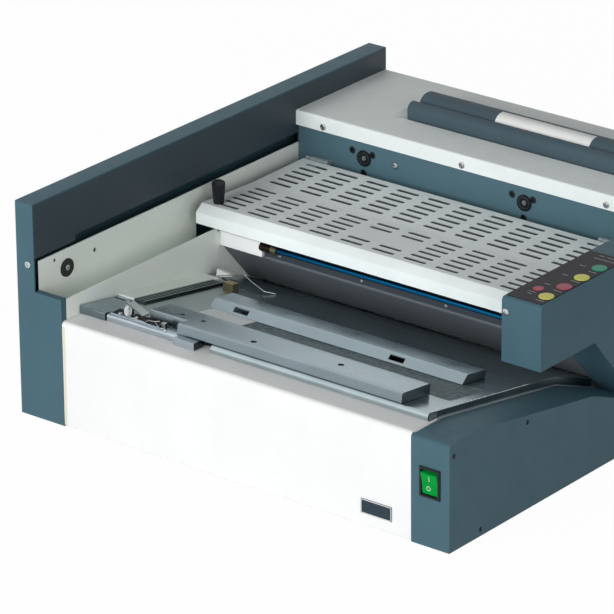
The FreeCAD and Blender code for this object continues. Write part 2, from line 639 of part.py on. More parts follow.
def liner_bumper():
    """Rubber stop ring on the liner."""
    ring = rod("x", BUMPER_Y, BUMPER_Z, (LEFT_WALL, LEFT_WALL + BUMPER_HEIGHT), BUMPER_RADIUS)
    rim = [edge for edge in ring.Edges if near(edge.BoundBox.XMin, LEFT_WALL + BUMPER_HEIGHT)]
    ring = ring.makeFillet(BUMPER_ROUND, rim)
    return ring.cut(rod("x", BUMPER_Y, BUMPER_Z, (0, LEFT_WALL + BUMPER_HEIGHT + PAST), BUMPER_BOLT_RADIUS))


def cover_profile(inset):
    """Side outline of the right cover, moved inwards by an inset."""
    outline = [(0, 0), (0, COVER_FRONT_TOP), (COVER_FLAT, COVER_FRONT_TOP), (KNEE_Y, KNEE_Z),
               (SEAM_Y, SEAM_Z), (DEPTH, SEAM_Z), (DEPTH, 0)]
    return offset_path(outline, -inset)


def right_side_cover():
    """Low right cover whose top follows the table, open underneath."""
    shell = prism("x", cover_profile(0.0), (RIGHT_COVER, WIDTH))
    inner = cover_profile(COVER)
    inner[0] = (inner[1][0], -PAST)
    inner[-1] = (inner[-2][0] - COVER, -PAST)
    inner[-2] = (inner[-2][0] - COVER, inner[-2][1])
    shell = shell.cut(prism("x", inner, (RIGHT_COVER + COVER, WIDTH - COVER)))
    shell = round_where(shell, COVER_ROUND, lambda p, d: near(p.y, 0) and near(p.z, COVER_FRONT_TOP))
    half_w, half_h = BEZEL_WIDTH / 2 - BEZEL_RIM, BEZEL_HEIGHT / 2 - BEZEL_RIM
    opening = block((SWITCH_X - half_w, SWITCH_X + half_w), (-PAST, COVER + PAST),
                    (SWITCH_Z - half_h, SWITCH_Z + half_h))
    sinks = [rod("x", y, z, (WIDTH - BLACK_HEAD_DEPTH, WIDTH + PAST), BLACK_HEAD_RADIUS)
             for y, z in BLACK_SCREWS if z < SEAM_Z or y < HOUSING_FRONT]
    pan = block((RIGHT_COVER - PAST, WIDTH - COVER), (COVER, DEPTH - COVER), (-PAST, FLOOR))
    return remove(shell, [opening, pan] + sinks)


def housing_profile():
    """Side outline of the control housing."""
    return [(HOUSING_FRONT, HOUSING_TOP), (HOUSING_FRONT, HOUSING_LOW), (HOUSING_BEND_Y, HOUSING_LOW),
            (SEAM_Y, SEAM_Z), (DEPTH, SEAM_Z), (DEPTH, HOUSING_TOP)]


def control_housing():
    """Tall right housing over the end of the table, with the buttons' holes in its top."""
    shell = prism("x", housing_profile(), (HOUSING_LEFT, WIDTH))
    hollow = [(HOUSING_FRONT + COVER, HOUSING_TOP - COVER), (HOUSING_FRONT + COVER, HOUSING_LOW + COVER),
              (HOUSING_BEND_Y + COVER, HOUSING_LOW + COVER), (SEAM_Y + 2 * COVER, SEAM_Z - PAST),
              (DEPTH - COVER, SEAM_Z - PAST), (DEPTH - COVER, HOUSING_TOP - COVER)]
    shell = shell.cut(prism("x", hollow, (HOUSING_LEFT + COVER, WIDTH - COVER)))
    shell = round_where(shell, HOUSING_BEND, lambda p, d: near(p.y, HOUSING_FRONT) and near(p.z, HOUSING_TOP))
    shell = round_where(shell, HOUSING_ROUND, lambda p, d: (near(p.x, WIDTH) or near(p.x, HOUSING_LEFT)) and
                        (near(p.z, HOUSING_TOP) or near(p.y, HOUSING_FRONT)))
    holes = [rod("z", x, y, (HOUSING_TOP - COVER - PAST, HOUSING_TOP + PAST), radius + BUTTON_CLEARANCE)
             for x, y, radius in button_places()]
    sinks = [rod("x", y, z, (WIDTH - BLACK_HEAD_DEPTH, WIDTH + PAST), BLACK_HEAD_RADIUS)
             for y, z in BLACK_SCREWS if z > SEAM_Z and y > HOUSING_FRONT]
    return remove(shell, holes + sinks)


def control_panel():
    """Dark overlay on top of the housing, with the buttons' holes."""
    plate = block(OVERLAY_X, OVERLAY_Y, (HOUSING_TOP, HOUSING_TOP + OVERLAY))
    plate = round_where(plate, OVERLAY_ROUND, lambda p, d: abs(d.z) > 0.9)
    return remove(plate, [rod("z", x, y, (HOUSING_TOP - PAST, HOUSING_TOP + PAST), radius + BUTTON_CLEARANCE)
                          for x, y, radius in button_places()])


def push_button(place):
    """Round push button with a rim that keeps it under the housing's top."""
    x, y, radius = place
    top = HOUSING_TOP + OVERLAY + BUTTON_PROUD
    cap = rod("z", x, y, (HOUSING_TOP - BUTTON_DEPTH, top), radius)
    cap = cap.makeFillet(BUTTON_EDGE, [edge for edge in cap.Edges if near(edge.BoundBox.ZMin, top)])
    rim_top = HOUSING_TOP - COVER - BUTTON_CLEARANCE
    rim = rod("z", x, y, (HOUSING_TOP - BUTTON_DEPTH, rim_top), radius + BUTTON_RIM)
    return join([cap, rim])


def control_board():
    """Circuit board on four standoffs inside the housing, with a few components."""
    face = HOUSING_LEFT + COVER
    board = block((face + BOARD_STANDOFF, face + BOARD_STANDOFF + BOARD_THICK), BOARD_Y, BOARD_Z)
    posts = [rod("x", y, z, (face, face + BOARD_STANDOFF), BOARD_POST_RADIUS)
             for y in (BOARD_Y[0] + BOARD_POST_INSET, BOARD_Y[1] - BOARD_POST_INSET)
             for z in (BOARD_Z[0] + BOARD_POST_INSET, BOARD_Z[1] - BOARD_POST_INSET)]
    x = face + BOARD_STANDOFF + BOARD_THICK
    chips = []
    for along, above, length, height, thick in (RELAY, CHIP):
        y, z = BOARD_Y[0] + along, BOARD_Z[0] + above
        chips.append(block((x, x + thick), (y, y + length), (z, z + height)))
    return join([board] + posts + chips)


def rocker_bezel():
    """Frame and body of the power switch, open at the front."""
    half_w, half_h = BEZEL_WIDTH / 2, BEZEL_HEIGHT / 2
    flange = block((SWITCH_X - half_w, SWITCH_X + half_w), (-BEZEL_PROUD, 0),
                   (SWITCH_Z - half_h, SWITCH_Z + half_h))
    flange = round_where(flange, BEZEL_ROUND, lambda p, d: near(p.y, -BEZEL_PROUD))
    body_w, body_h = half_w - BEZEL_RIM, half_h - BEZEL_RIM
    body = block((SWITCH_X - body_w, SWITCH_X + body_w), (0, BEZEL_DEPTH),
                 (SWITCH_Z - body_h, SWITCH_Z + body_h))
    hole_w, hole_h = body_w - BEZEL_WALL, body_h - BEZEL_WALL
    hole = block((SWITCH_X - hole_w, SWITCH_X + hole_w), (-BEZEL_PROUD - PAST, BEZEL_DEPTH - 2 * BEZEL_WALL),
                 (SWITCH_Z - hole_h, SWITCH_Z + hole_h))
    pin = rod("x", ROCKER_PIVOT_Y, SWITCH_Z, (SWITCH_X - body_w, SWITCH_X + body_w), ROCKER_PIN)
    return join([join([flange, body]).cut(hole), pin])


def rocker():
    """Rocker of the power switch, resting on its lower side."""
    width = BEZEL_WIDTH / 2 - BEZEL_RIM - BEZEL_WALL - GAP
    height = BEZEL_HEIGHT / 2 - BEZEL_RIM - BEZEL_WALL - ROCKER_SIDE_GAP
    across = (SWITCH_X - width - PAST, SWITCH_X + width + PAST)
    face = -BEZEL_PROUD + ROCKER_PROUD
    body = block((SWITCH_X - width, SWITCH_X + width), (face, ROCKER_PIVOT_Y + 2 * ROCKER_PIN),
                 (SWITCH_Z - height, SWITCH_Z + height))
    body = body.cut(rod("x", face + ROCKER_HOLLOW - ROCKER_RADIUS, SWITCH_Z, across, ROCKER_RADIUS))
    body = body.cut(rod("x", ROCKER_PIVOT_Y, SWITCH_Z, across, ROCKER_PIN + RUNNING))
    body.rotate(V(0, ROCKER_PIVOT_Y, SWITCH_Z), V(1, 0, 0), ROCKER_TILT)
    return body


def nameplate():
    """Blank plate at the lower right of the front panel."""
    plate = block((PLATE_X, PLATE_X + PLATE_SIZE[0]), (-PLATE_THICK, 0), (PLATE_Z, PLATE_Z + PLATE_SIZE[1]))
    return round_where(plate, PLATE_ROUND, lambda p, d: abs(d.y) > 0.9)


# ================================================================ lid and clamp
def lid():
    """Beige lid with a folded front lip, a back lip and the clamp slot with its ramp."""
    x = (LEFT_WALL + GAP, HOUSING_LEFT - GAP)
    path = [(LID_FRONT, LID_TOP - LIP_HEIGHT), (LID_FRONT, LID_TOP), (DEPTH - GAP, LID_TOP),
            (DEPTH - GAP, LID_TOP - LIP_HEIGHT)]
    sheet = folded("x", path[::-1], x)
    outline = [(SLOT_X[0], SLOT_Y[0] - SLOT_CORNER[1]), (SLOT_X[0] + SLOT_CORNER[0], SLOT_Y[0]),
               (SLOT_X[1], SLOT_Y[0]), (SLOT_X[1], SLOT_Y[1]), (SLOT_X[0], SLOT_Y[1])]
    sheet = sheet.cut(prism("z", outline, (LID_TOP - 2 * SHEET, LID_TOP + PAST)))
    drop = RAMP_LENGTH * math.tan(math.radians(RAMP_ANGLE))
    start, end = SLOT_X[0], SLOT_X[0] + RAMP_LENGTH
    ramp = prism("y", [(start, LID_TOP), (end, LID_TOP - drop), (end, LID_TOP - drop - SHEET),
                       (start, LID_TOP - SHEET)], RAMP_Y)
    through = (LID_FRONT - PAST, LID_FRONT + SHEET + PAST)
    screws = [rod("y", x_screw, LIP_SCREW_Z, through, SCREW_HEAD_RADIUS / 2) for x_screw in LIP_SCREWS_X]
    return remove(join([sheet, ramp]), screws)


def clamp_front_wall():
    """Painted wall between the guard and the lid, with round windows for the adjusters."""
    wall = block((LEFT_WALL + GAP, HOUSING_LEFT - GAP), (WALL_Y, WALL_Y + SHEET), (WALL_LOW, LID_TOP - SHEET))
    through = (WALL_Y - PAST, WALL_Y + SHEET + PAST)
    holes = [rod("y", x, z, through, radius) for x, z, radius in adjuster_places()]
    holes.append(rod("y", *CLAMP_WALL_SCREW, through, SCREW_HEAD_RADIUS / 2))
    return remove(wall, holes)


def adjuster_places():
    """Centre and radius of each adjuster in the clamp wall."""
    places = []
    for x in ADJUSTERS_X:
        places.append((x, ADJUSTER_Z, ADJUSTER_RADIUS))
        places += [(x + dx, ADJUSTER_Z + dz, SMALL_ADJUSTER_RADIUS) for dx, dz in SMALL_ADJUSTERS]
    return places


def adjuster_bushes():
    """Black adjuster heads with hexagon sockets, one large and three small at each place."""
    heads = []
    for x, z, radius in adjuster_places():
        large = radius > SMALL_ADJUSTER_RADIUS
        proud = ADJUSTER_PROUD if large else 0.0
        head = rod("y", x, z, (WALL_Y - proud, WALL_Y + 2 * SHEET), radius)
        size = ADJUSTER_SOCKET if large else ADJUSTER_SOCKET / 2
        corners = [(x + size * math.cos(math.radians(60 * k)), z + size * math.sin(math.radians(60 * k)))
                   for k in range(6)]
        head = head.cut(prism("y", corners, (WALL_Y - proud - PAST, WALL_Y + SHEET)))
        if large:
            outer, inner, depth = ADJUSTER_GROOVE
            span = (WALL_Y - proud - PAST, WALL_Y - proud + depth)
            groove = rod("y", x, z, span, radius - outer)
            head = head.cut(groove.cut(rod("y", x, z, span, radius - inner)))
        heads.append(head)
    return heads


def jaw_nose(y, top, rounds, inset=0.0):
    """Bar of a jaw above the lid, with its two upper edges rounded."""
    nose = block((JAW_X[0] + inset, JAW_X[1]), y, (NOSE_LOW, top))
    for edge, radius in zip(y, rounds):
        nose = round_where(nose, radius, lambda p, d: abs(d.x) > 0.9 and near(p.z, top) and near(p.y, edge))
    return nose


def front_jaw():
    """Fixed front jaw: rounded nose above the lid, flat plate below, carried by its end arms."""
    nose = jaw_nose(FRONT_JAW_Y, FRONT_JAW_TOP, FRONT_JAW_ROUNDS)
    plate_y = (FRONT_JAW_Y[1] - JAW_PLATE, FRONT_JAW_Y[1])
    plate = block(JAW_X, plate_y, (JAW_LOW, NOSE_LOW))
    arms = block((FRAME_X[0] + FRAME_THICK, FRAME_X[1]), plate_y, JAW_ARM_Z)
    return join([nose, plate, arms])


def rear_jaw():
    """Sliding rear jaw with a domed nose and a lug on each guide rod."""
    nose = jaw_nose((REAR_JAW_FRONT, REAR_JAW_BACK), REAR_JAW_TOP, REAR_JAW_ROUNDS, REAR_NOSE_INSET)
    plate = block(JAW_X, (REAR_JAW_FRONT, REAR_JAW_FRONT + JAW_PLATE), (JAW_LOW, NOSE_LOW))
    lug_y = (REAR_JAW_FRONT, REAR_JAW_FRONT + LUG_THICK)
    lugs = [block((x, x + LUG_WIDTH), lug_y, LUG_Z) for x in (JAW_X[0] - LUG_WIDTH, JAW_X[1])]
    bores = [rod("y", x, ADJUSTER_Z, (lug_y[0] - PAST, lug_y[1] + PAST), GUIDE_ROD_RADIUS + RUNNING)
             for x in GUIDE_RODS_X]
    return remove(join([nose, plate] + lugs), bores)


def actuators():
    """Fixed cylinders beside the clamp's ends."""
    bodies = []
    y = (WALL_Y + 2 * SHEET, WALL_Y + SHEET + ACTUATOR_LENGTH)
    for x in ACTUATOR_X:
        body = join([rod("y", x, ACTUATOR_Z, y, ACTUATOR_RADIUS),
                     rod("y", x, ACTUATOR_Z, (WALL_Y + SHEET, y[0]), ACTUATOR_BOSS)])
        bore = rod("y", x, ACTUATOR_Z, (y[0] + ACTUATOR_END, y[1] + PAST), ACTUATOR_ROD + RUNNING)
        bodies.append(body.cut(bore))
    return bodies


def actuator_rods():
    """Rods that push the rear jaw."""
    end = WALL_Y + SHEET + ACTUATOR_LENGTH - ACTUATOR_ENGAGED
    return [rod("y", x, ACTUATOR_Z, (end, REAR_JAW_FRONT), ACTUATOR_ROD) for x in ACTUATOR_X]


# ================================================================ hinged guard
def guard_cover():
    """Folded guard with two halves of slots and a slight crease between them."""
    path = [(GUARD_FRONT, GUARD_FLANGE_LOW), (GUARD_FRONT, GUARD_FLANGE_TOP), (GUARD_NOSE_Y, GUARD_NOSE_Z),
            (CREASE_Y, CREASE_Z), (GUARD_BACK, GUARD_BACK_Z)]
    sheet = folded("x", path[::-1], GUARD_X, GUARD_SHEET)
    side = [(GUARD_FRONT + GUARD_SHEET, GUARD_FLANGE_TOP),
            (GUARD_NOSE_Y + GUARD_SHEET, GUARD_NOSE_Z - GUARD_SHEET),
            (CREASE_Y, CREASE_Z - GUARD_SHEET / 2), (GUARD_BACK, GUARD_BACK_Z - GUARD_SHEET / 2),
            (GUARD_BACK, GUARD_BACK_Z - GUARD_END_FLANGE),
            (GUARD_FRONT + GUARD_SHEET, GUARD_FLANGE_TOP - GUARD_END_FLANGE)]
    ends = [prism("x", side, (x, x + GUARD_SHEET)) for x in (GUARD_X[0], GUARD_X[1] - GUARD_SHEET)]
    cutters = []
    depth = 2 * GUARD_SHEET
    for first, blank in ((FRONT_ROW_Y, True), (BACK_ROW_Y, False)):
        for row in range(SLOT_ROWS):
            for column in range(SLOT_COLUMNS):
                if blank and column in BLANK_COLUMNS and row in BLANK_ROWS:
                    continue
                y = first + SLOT_PITCH_Y * row
                x = SLOT_FIRST_X + SLOT_PITCH_X * column
                cutters.append(slot_cutter(x, y, guard_height(y) - depth, SLOT_LENGTH, SLOT_WIDTH, 2 * depth))
    knob_z = guard_height(KNOB_Y)
    cutters.append(rod("z", KNOB_X, KNOB_Y, (knob_z - depth, knob_z + PAST), KNOB_STUD_RADIUS))
    return remove(join([sheet] + ends), cutters)


def guard_knob():
    """Tapered black knob with its stud through the guard."""
    low = guard_height(KNOB_Y) + KNOB_SEAT
    cone = Part.makeCone(KNOB_BASE_RADIUS, KNOB_TOP_RADIUS, KNOB_HEIGHT, V(KNOB_X, KNOB_Y, low))
    crown = [edge for edge in cone.Edges if near(edge.BoundBox.ZMin, low + KNOB_HEIGHT)]
    cone = cone.makeFillet(KNOB_ROUND, crown)
    stud = rod("z", KNOB_X, KNOB_Y, (low - GUARD_SHEET - KNOB_STUD_BELOW, low + PAST), KNOB_STUD_RADIUS)
    return join([cone, stud])


def hinge_starts():
    """Left end of each hinge."""
    return (GUARD_X[0], GUARD_X[1] - HINGE_WIDTH - HINGE_INSET)


def guard_hinge_leaves():
    """Moving hinge leaves under the guard's back edge, each with its knuckle."""
    leaves = []
    for x in hinge_starts():
        inner = (x + KNUCKLE_END + GAP, x + HINGE_WIDTH - KNUCKLE_END - GAP)
        under = guard_height(GUARD_BACK) - GUARD_SHEET
        leaf = block(inner, (HINGE_Y - HINGE_RADIUS - LEAF_LENGTH, HINGE_Y),
                     (under - LEAF - LEAF_SEAT, under - LEAF_SEAT))
        leaf = join([leaf, rod("x", HINGE_Y, HINGE_Z, inner, HINGE_RADIUS)])
        leaves.append(leaf.cut(rod("x", HINGE_Y, HINGE_Z, (x, x + HINGE_WIDTH), HINGE_PIN + RUNNING)))
    return leaves


def hinge_pins():
    """Fixed hinge leaves on the clamp wall, with end knuckles and the pin."""
    pins = []
    for x in hinge_starts():
        leaf = block((x, x + HINGE_WIDTH), (WALL_Y - LEAF, WALL_Y),
                     (HINGE_Z - HINGE_RADIUS, HINGE_Z + LEAF_RISE))
        pieces = [leaf]
        for start in (x, x + HINGE_WIDTH - KNUCKLE_END):
            span = (start, start + KNUCKLE_END)
            pieces.append(rod("x", HINGE_Y, HINGE_Z, span, HINGE_RADIUS))
            pieces.append(block(span, (HINGE_Y, WALL_Y - LEAF),
                                (HINGE_Z - HINGE_RADIUS, HINGE_Z - HINGE_RADIUS + LEAF)))
        pieces.append(rod("x", HINGE_Y, HINGE_Z, (x, x + HINGE_WIDTH), HINGE_PIN))
        pins.append(join(pieces))
    return pins


# ================================================================ cover table and nipping station
def cover_table():
    """Sloping steel table with a rolled front hem, a steeper back part and side flanges."""
    low = LEDGE_TOP + HEM_SEAT
    path = [(TABLE_FRONT + HEM_RETURN, low), (TABLE_FRONT, low), (TABLE_FRONT, table_height(TABLE_FRONT)),
            (TABLE_KNEE, table_height(TABLE_KNEE)), (TABLE_END, table_height(TABLE_END))]
    sheet = folded("x", path[::-1], TABLE_X, SHEET, HEM_BEND)
    along = (TABLE_FRONT + FLANGE_START, TABLE_KNEE, TABLE_END)
    outline = [(y, table_height(y) - SHEET / 2) for y in along]
    outline += [(y, table_height(y) - TABLE_FLANGE) for y in reversed(along)]
    flange = prism("x", outline, (TABLE_X[1] - SHEET, TABLE_X[1]))
    through = (-SHEET * 2, PAST)
    cutters = [block((0, HEM_START), (0, NOTCH_DEPTH), (0, WALL_TOP)),
               block((0, BLOCK_NOTCH[0]), (0, BLOCK_NOTCH[1]), (0, WALL_TOP)),
               on_table(block(STRIP_X, STRIP_S, through))]
    cutters += [on_table(rod("z", x, s, through, radius)) for x, s, radius in TABLE_HOLES]
    return remove(join([sheet, flange]), cutters)


def spine_strip():
    """Dark gripping strip let into the table under the spine."""
    return on_table(block(STRIP_X, STRIP_S, (-SHEET, 0)))


def table_end_block():
    """Left end block of the table, level with it."""
    low = LEDGE_TOP + HEM_SEAT
    tall = prism("x", [(TABLE_FRONT, low), (TABLE_FRONT, table_height(TABLE_FRONT) - BLOCK_DROP),
                       (BLOCK_BACK, table_height(BLOCK_BACK) - BLOCK_DROP),
                       (BLOCK_BACK, table_height(BLOCK_BACK) - HEM_HEIGHT), (TABLE_FRONT + HEM_RETURN, low)],
                 BLOCK_X)
    return round_where(tall, BLOCK_ROUND, lambda p, d: near(p.y, TABLE_FRONT) and p.z > low + HEM_HEIGHT / 2)


def table_rail():
    """Dark grooved rail on the table's left side."""
    bar = block(RAIL_X, RAIL_S, (0, RAIL_HEIGHT))
    width, depth = RAIL_GROOVE
    grooves = [block((RAIL_X[0] + inset, RAIL_X[0] + inset + width), (RAIL_S[0] - PAST, RAIL_S[1] + PAST),
                     (RAIL_HEIGHT - depth, RAIL_HEIGHT + PAST)) for inset in RAIL_GROOVES]
    return on_table(remove(bar, grooves))


def nip_plate_front():
    """Front nipping plate: folded channel with a left ear; it slides down the table."""
    s, (front, back) = FRONT_NIP_S, FRONT_NIP_HEIGHTS
    section = [(s[0], PLATE_LIFT), (s[0], front), (s[1], back), (s[1], PLATE_LIFT)]
    body = folded("x", section[::-1], FRONT_NIP_X, SHEET, NIP_BEND)
    ear_x, ear_s = FRONT_NIP_EAR
    ear_front = front + (back - front) * (ear_s - s[0]) / (s[1] - s[0])
    ear = folded("x", [(ear_s, PLATE_LIFT), (ear_s, ear_front), (s[1], back), (s[1], PLATE_LIFT)][::-1],
                 (ear_x, FRONT_NIP_X[0]), SHEET, NIP_BEND)
    inset = SHEET / 2
    end = prism("x", [(s[0] + inset, PLATE_LIFT), (s[0] + inset, front - inset), (s[1] - inset, back - inset),
                      (s[1] - inset, PLATE_LIFT)], (FRONT_NIP_X[1] - SHEET, FRONT_NIP_X[1]))
    holes = [rod("z", x, s_hole, (SHEET, back + PAST), radius) for x, s_hole, radius in FRONT_NIP_HOLES]
    return on_table(remove(join([body, ear, end]), holes))


def nip_plate_rear():
    """Rear nipping plate with a slanted front face; it slides up the table."""
    s = REAR_NIP_S
    section = [(s[0], PLATE_LIFT), (s[0] + REAR_NIP_BEVEL, REAR_NIP_HEIGHT), (s[1], REAR_NIP_HEIGHT),
               (s[1], PLATE_LIFT)]
    body = folded("x", section[::-1], REAR_NIP_X, SHEET, NIP_BEND)
    inset = SHEET / 2
    top = REAR_NIP_HEIGHT - inset
    end = prism("x", [(s[0] + 2 * inset, PLATE_LIFT), (s[0] + REAR_NIP_BEVEL + inset, top),
                      (s[1] - inset, top), (s[1] - inset, PLATE_LIFT)],
                (REAR_NIP_X[1] - SHEET, REAR_NIP_X[1]))
    middle_s, middle_h = s[0] + REAR_NIP_BEVEL / 2, REAR_NIP_HEIGHT / 2
    foot = block((REAR_NIP_X[0] - PAST, REAR_NIP_X[1] + PAST), (s[0] - PAST, s[1] + PAST),
                 (-SHEET, PLATE_LIFT))
    half_x, half_h, half_s = (size / 2 for size in SLOT_SIZE)
    windows = [block((x - half_x, x + half_x), (middle_s - half_s, middle_s + half_s),
                     (middle_h - half_h, middle_h + half_h)) for x in SLOT_CENTRES]
    return on_table(remove(join([body, end]), windows + [foot]))


def side_lay_bar():
    """Side lay: front bar with its clip and the lever's base plate, sliding along X."""
    low = LEDGE_TOP + 2 * GAP
    rear = [(LAY_FLAT, LAY_TOP), (LAY_BACK, table_height(LAY_BACK) - LAY_DROP), (LAY_BACK, low)]
    bar = prism("x", [(TABLE_FRONT, low), (TABLE_FRONT, LAY_TOP)] + rear, LAY_X)
    bar = round_where(bar, LAY_ROUND, lambda p, d: abs(d.x) > 0.9 and near(p.y, TABLE_FRONT))
    clip = prism("x", [(LAY_CLIP_FRONT, low), (LAY_CLIP_FRONT, LAY_TOP)] + rear, LAY_CLIP_X)
    plate = block(LAY_PLATE_X, LAY_PLATE_Y, (LAY_TOP, LAY_TOP + LAY_PLATE_THICK))
    post_top = LAY_TOP + LEVER_LIFT + LEVER_THICK + LEVER_PIN_ABOVE
    post = rod("z", LEVER_X, LEVER_Y, (LAY_TOP, post_top), LEVER_PIN)
    boss = rod("z", LEVER_X, LEVER_Y, (LAY_TOP, LAY_TOP + LEVER_LIFT - GAP), LEVER_BOSS)
    return join([bar, clip, plate, post, boss])


def lay_lever():
    """Flat lever that locks the side lay; it swings about an upright pin."""
    z = (LAY_TOP + LEVER_LIFT, LAY_TOP + LEVER_LIFT + LEVER_THICK)
    half = LEVER_WIDTH / 2
    arm = block((0, LEVER_LENGTH), (-half, half), z)
    arm = round_where(arm, LEVER_ROUND, lambda p, d: abs(d.z) > 0.9)
    arm.translate(V(-half, 0, 0))
    arm = arm.cut(rod("z", 0, 0, (z[0] - PAST, z[1] + PAST), LEVER_PIN + RUNNING))
    arm.rotate(V(0, 0, 0), V(0, 0, 1), LEVER_ANGLE)
    arm.translate(V(LEVER_X, LEVER_Y, 0))
    return arm


# ================================================================ chute, beam and feed pieces
def rod_beam():
    """Dark folded beam behind the guide rod."""
    path = [(BEAM_Y, BEAM_LOW), (BEAM_Y, BEAM_TOP), (BEAM_Y + BEAM_HEM, BEAM_TOP)]
    return folded("x", path[::-1], (STEP_WIDTH + GAP, HOUSING_LEFT - GAP))


def chute_panel():
    """Dark chute that closes the back of the cover opening."""
    path = [(CHUTE_TOP_Y + CHUTE_HEM, CHUTE_TOP_Z), (CHUTE_TOP_Y, CHUTE_TOP_Z), (CHUTE_LOW_Y, CHUTE_LOW_Z),
            (CHUTE_LOW_Y + 2 * CHUTE_HEM, CHUTE_LOW_Z)]
    return folded("x", path, (STEP_WIDTH + GAP, HOUSING_LEFT - GAP))


def blue_guide_rod():
    """Blue rod along the chute's top edge."""
    return rod("x", ROD_Y, ROD_Z, (BRACKET_X[1], HOUSING_LEFT - GAP), ROD_RADIUS)


def brass_fittings():
    """Brass bush at each end of the rod and the brass block on the table."""
    left, right = FITTING_LENGTHS
    spans = [(BRACKET_X[1], BRACKET_X[1] + left), (HOUSING_LEFT - GAP - right, HOUSING_LEFT - GAP)]
    bushes = [rod("x", ROD_Y, ROD_Z, span, FITTING_RADIUS).cut(
        rod("x", ROD_Y, ROD_Z, (span[0] - PAST, span[1] + PAST), ROD_RADIUS)) for span in spans]
    nut = on_table(block(NUT_X, NUT_S, (0, NUT_HEIGHT)))
    return bushes + [nut]


def rod_bracket():
    """White bracket that carries the rod's left end."""
    front = BEAM_Y - BRACKET_THICK
    plate = block(BRACKET_X, (front, BEAM_Y), BRACKET_Z)
    return round_where(plate, BRACKET_ROUND, lambda p, d: near(p.y, front))


def feed_block():
    """White tapered guide block on the table's left side."""
    return on_table(prism("y", list(FEED_BLOCK_OUTLINE), FEED_BLOCK_S))


def hold_down_wire():
    """Bent spring wire that keeps the cover down, held in the guide block."""
    points = [V(x, FEED_BLOCK_S[0] + s, height) for x, s, height in WIRE_POINTS]
    pieces = [Part.makeSphere(WIRE_RADIUS, place) for place in points]
    for start, end in zip(points, points[1:]):
        pieces.append(Part.makeCylinder(WIRE_RADIUS, (end - start).Length, start, end - start))
    return on_table(join(pieces)).cut(feed_block())


# ================================================================ inner and rear panels
def right_inner_panel():
    """Folded panel between the guard's right end and the control housing."""
    path = [(INNER_PANEL_X, INNER_PANEL_LOW), (INNER_PANEL_X, INNER_PANEL_TOP),
            (HOUSING_LEFT - GAP, INNER_PANEL_TOP)]
    sheet = folded("y", path[::-1], (INNER_PANEL_START, WALL_Y - GAP))
    behind = prism("x", [(0, 0), (LIP_END, 0), (LIP_END, CHUTE_LOW_Z + CHUTE_HEM),
                         (CHUTE_LOW_Y + 2 * BEND_ROOM, CHUTE_LOW_Z + 2 * BEND_ROOM),
                         (BEAM_Y + BEAM_HEM + BEND_ROOM, BEAM_TOP + BEND_ROOM), (0, BEAM_TOP + BEND_ROOM)],
                   (0, WIDTH))
    return sheet.cut(behind)


def rear_panel():
    """Back panel with two groups of vents and the inlet's cut-out."""
    y = (REAR_PANEL_Y, REAR_PANEL_Y + SHEET)
    panel = block((LEFT_WALL + GAP, HOUSING_LEFT - GAP), y, (FLOOR, LID_TOP - SHEET - BEND))
    cutters = [block((INLET_X - INLET_BODY[0] / 2, INLET_X + INLET_BODY[0] / 2), (y[0] - PAST, y[1] + PAST),
                     (INLET_Z - INLET_BODY[1] / 2, INLET_Z + INLET_BODY[1] / 2))]
    for x in VENT_GROUPS_X:
        for row in range(VENT_COUNT):
            z = VENT_LOW_Z + VENT_PITCH * row
            cutters.append(block((x, x + VENT_LENGTH), (y[0] - PAST, y[1] + PAST), (z, z + VENT_WIDTH)))
            cutters.append(block((x + VENT_LENGTH + VENT_GAP, x + 2 * VENT_LENGTH + VENT_GAP),
                                 (y[0] - PAST, y[1] + PAST), (z, z + VENT_WIDTH)))
    return remove(panel, cutters)


def power_inlet():
    """Mains inlet: flange outside the panel, body inside, three pins in the open cavity."""
    face = REAR_PANEL_Y + SHEET
    flange = block((INLET_X - INLET_FLANGE[0] / 2, INLET_X + INLET_FLANGE[0] / 2), (face, face + INLET_PROUD),
                   (INLET_Z - INLET_FLANGE[1] / 2, INLET_Z + INLET_FLANGE[1] / 2))
    flange = round_where(flange, INLET_ROUND, lambda p, d: abs(d.y) > 0.9)
    body = block((INLET_X - INLET_BODY[0] / 2, INLET_X + INLET_BODY[0] / 2), (face - INLET_DEPTH, face),
                 (INLET_Z - INLET_BODY[1] / 2, INLET_Z + INLET_BODY[1] / 2))
    back = face + INLET_PROUD - INLET_CAVITY_DEPTH
    cavity = block((INLET_X - INLET_CAVITY[0] / 2, INLET_X + INLET_CAVITY[0] / 2),
                   (back, face + INLET_PROUD + PAST),
                   (INLET_Z - INLET_CAVITY[1] / 2, INLET_Z + INLET_CAVITY[1] / 2))
    shell = join([flange, body]).cut(cavity)
    half_x, half_z = INLET_PIN[0] / 2, INLET_PIN[1] / 2
    pins = [block((INLET_X + dx - half_x, INLET_X + dx + half_x), (back - SHEET / 2, back + INLET_PIN[2]),
                  (INLET_Z + dz - half_z, INLET_Z + dz + half_z)) for dx, dz in INLET_PIN_PLACES]
    return join([shell] + pins)


# ================================================================ frame and carriage
def frame_plates():
    """Two upright plates that carry the clamp and the carriage rails."""
    plates = []
    for x in FRAME_X:
        span = (x, x + FRAME_THICK)
        plate = block(span, (WALL_Y + SHEET, REAR_PANEL_Y), (FLOOR, FRAME_TOP))
        plate = plate.cut(rod("x", SPINE_Y, FRAME_WINDOW_Z, (span[0] - PAST, span[1] + PAST), FRAME_WINDOW))
        bore = rod("x", SPINE_Y, SCREW_Z, (span[0] - PAST, span[1] + PAST), SCREW_RADIUS + RUNNING)
        plates.append(plate.cut(bore))
    return plates


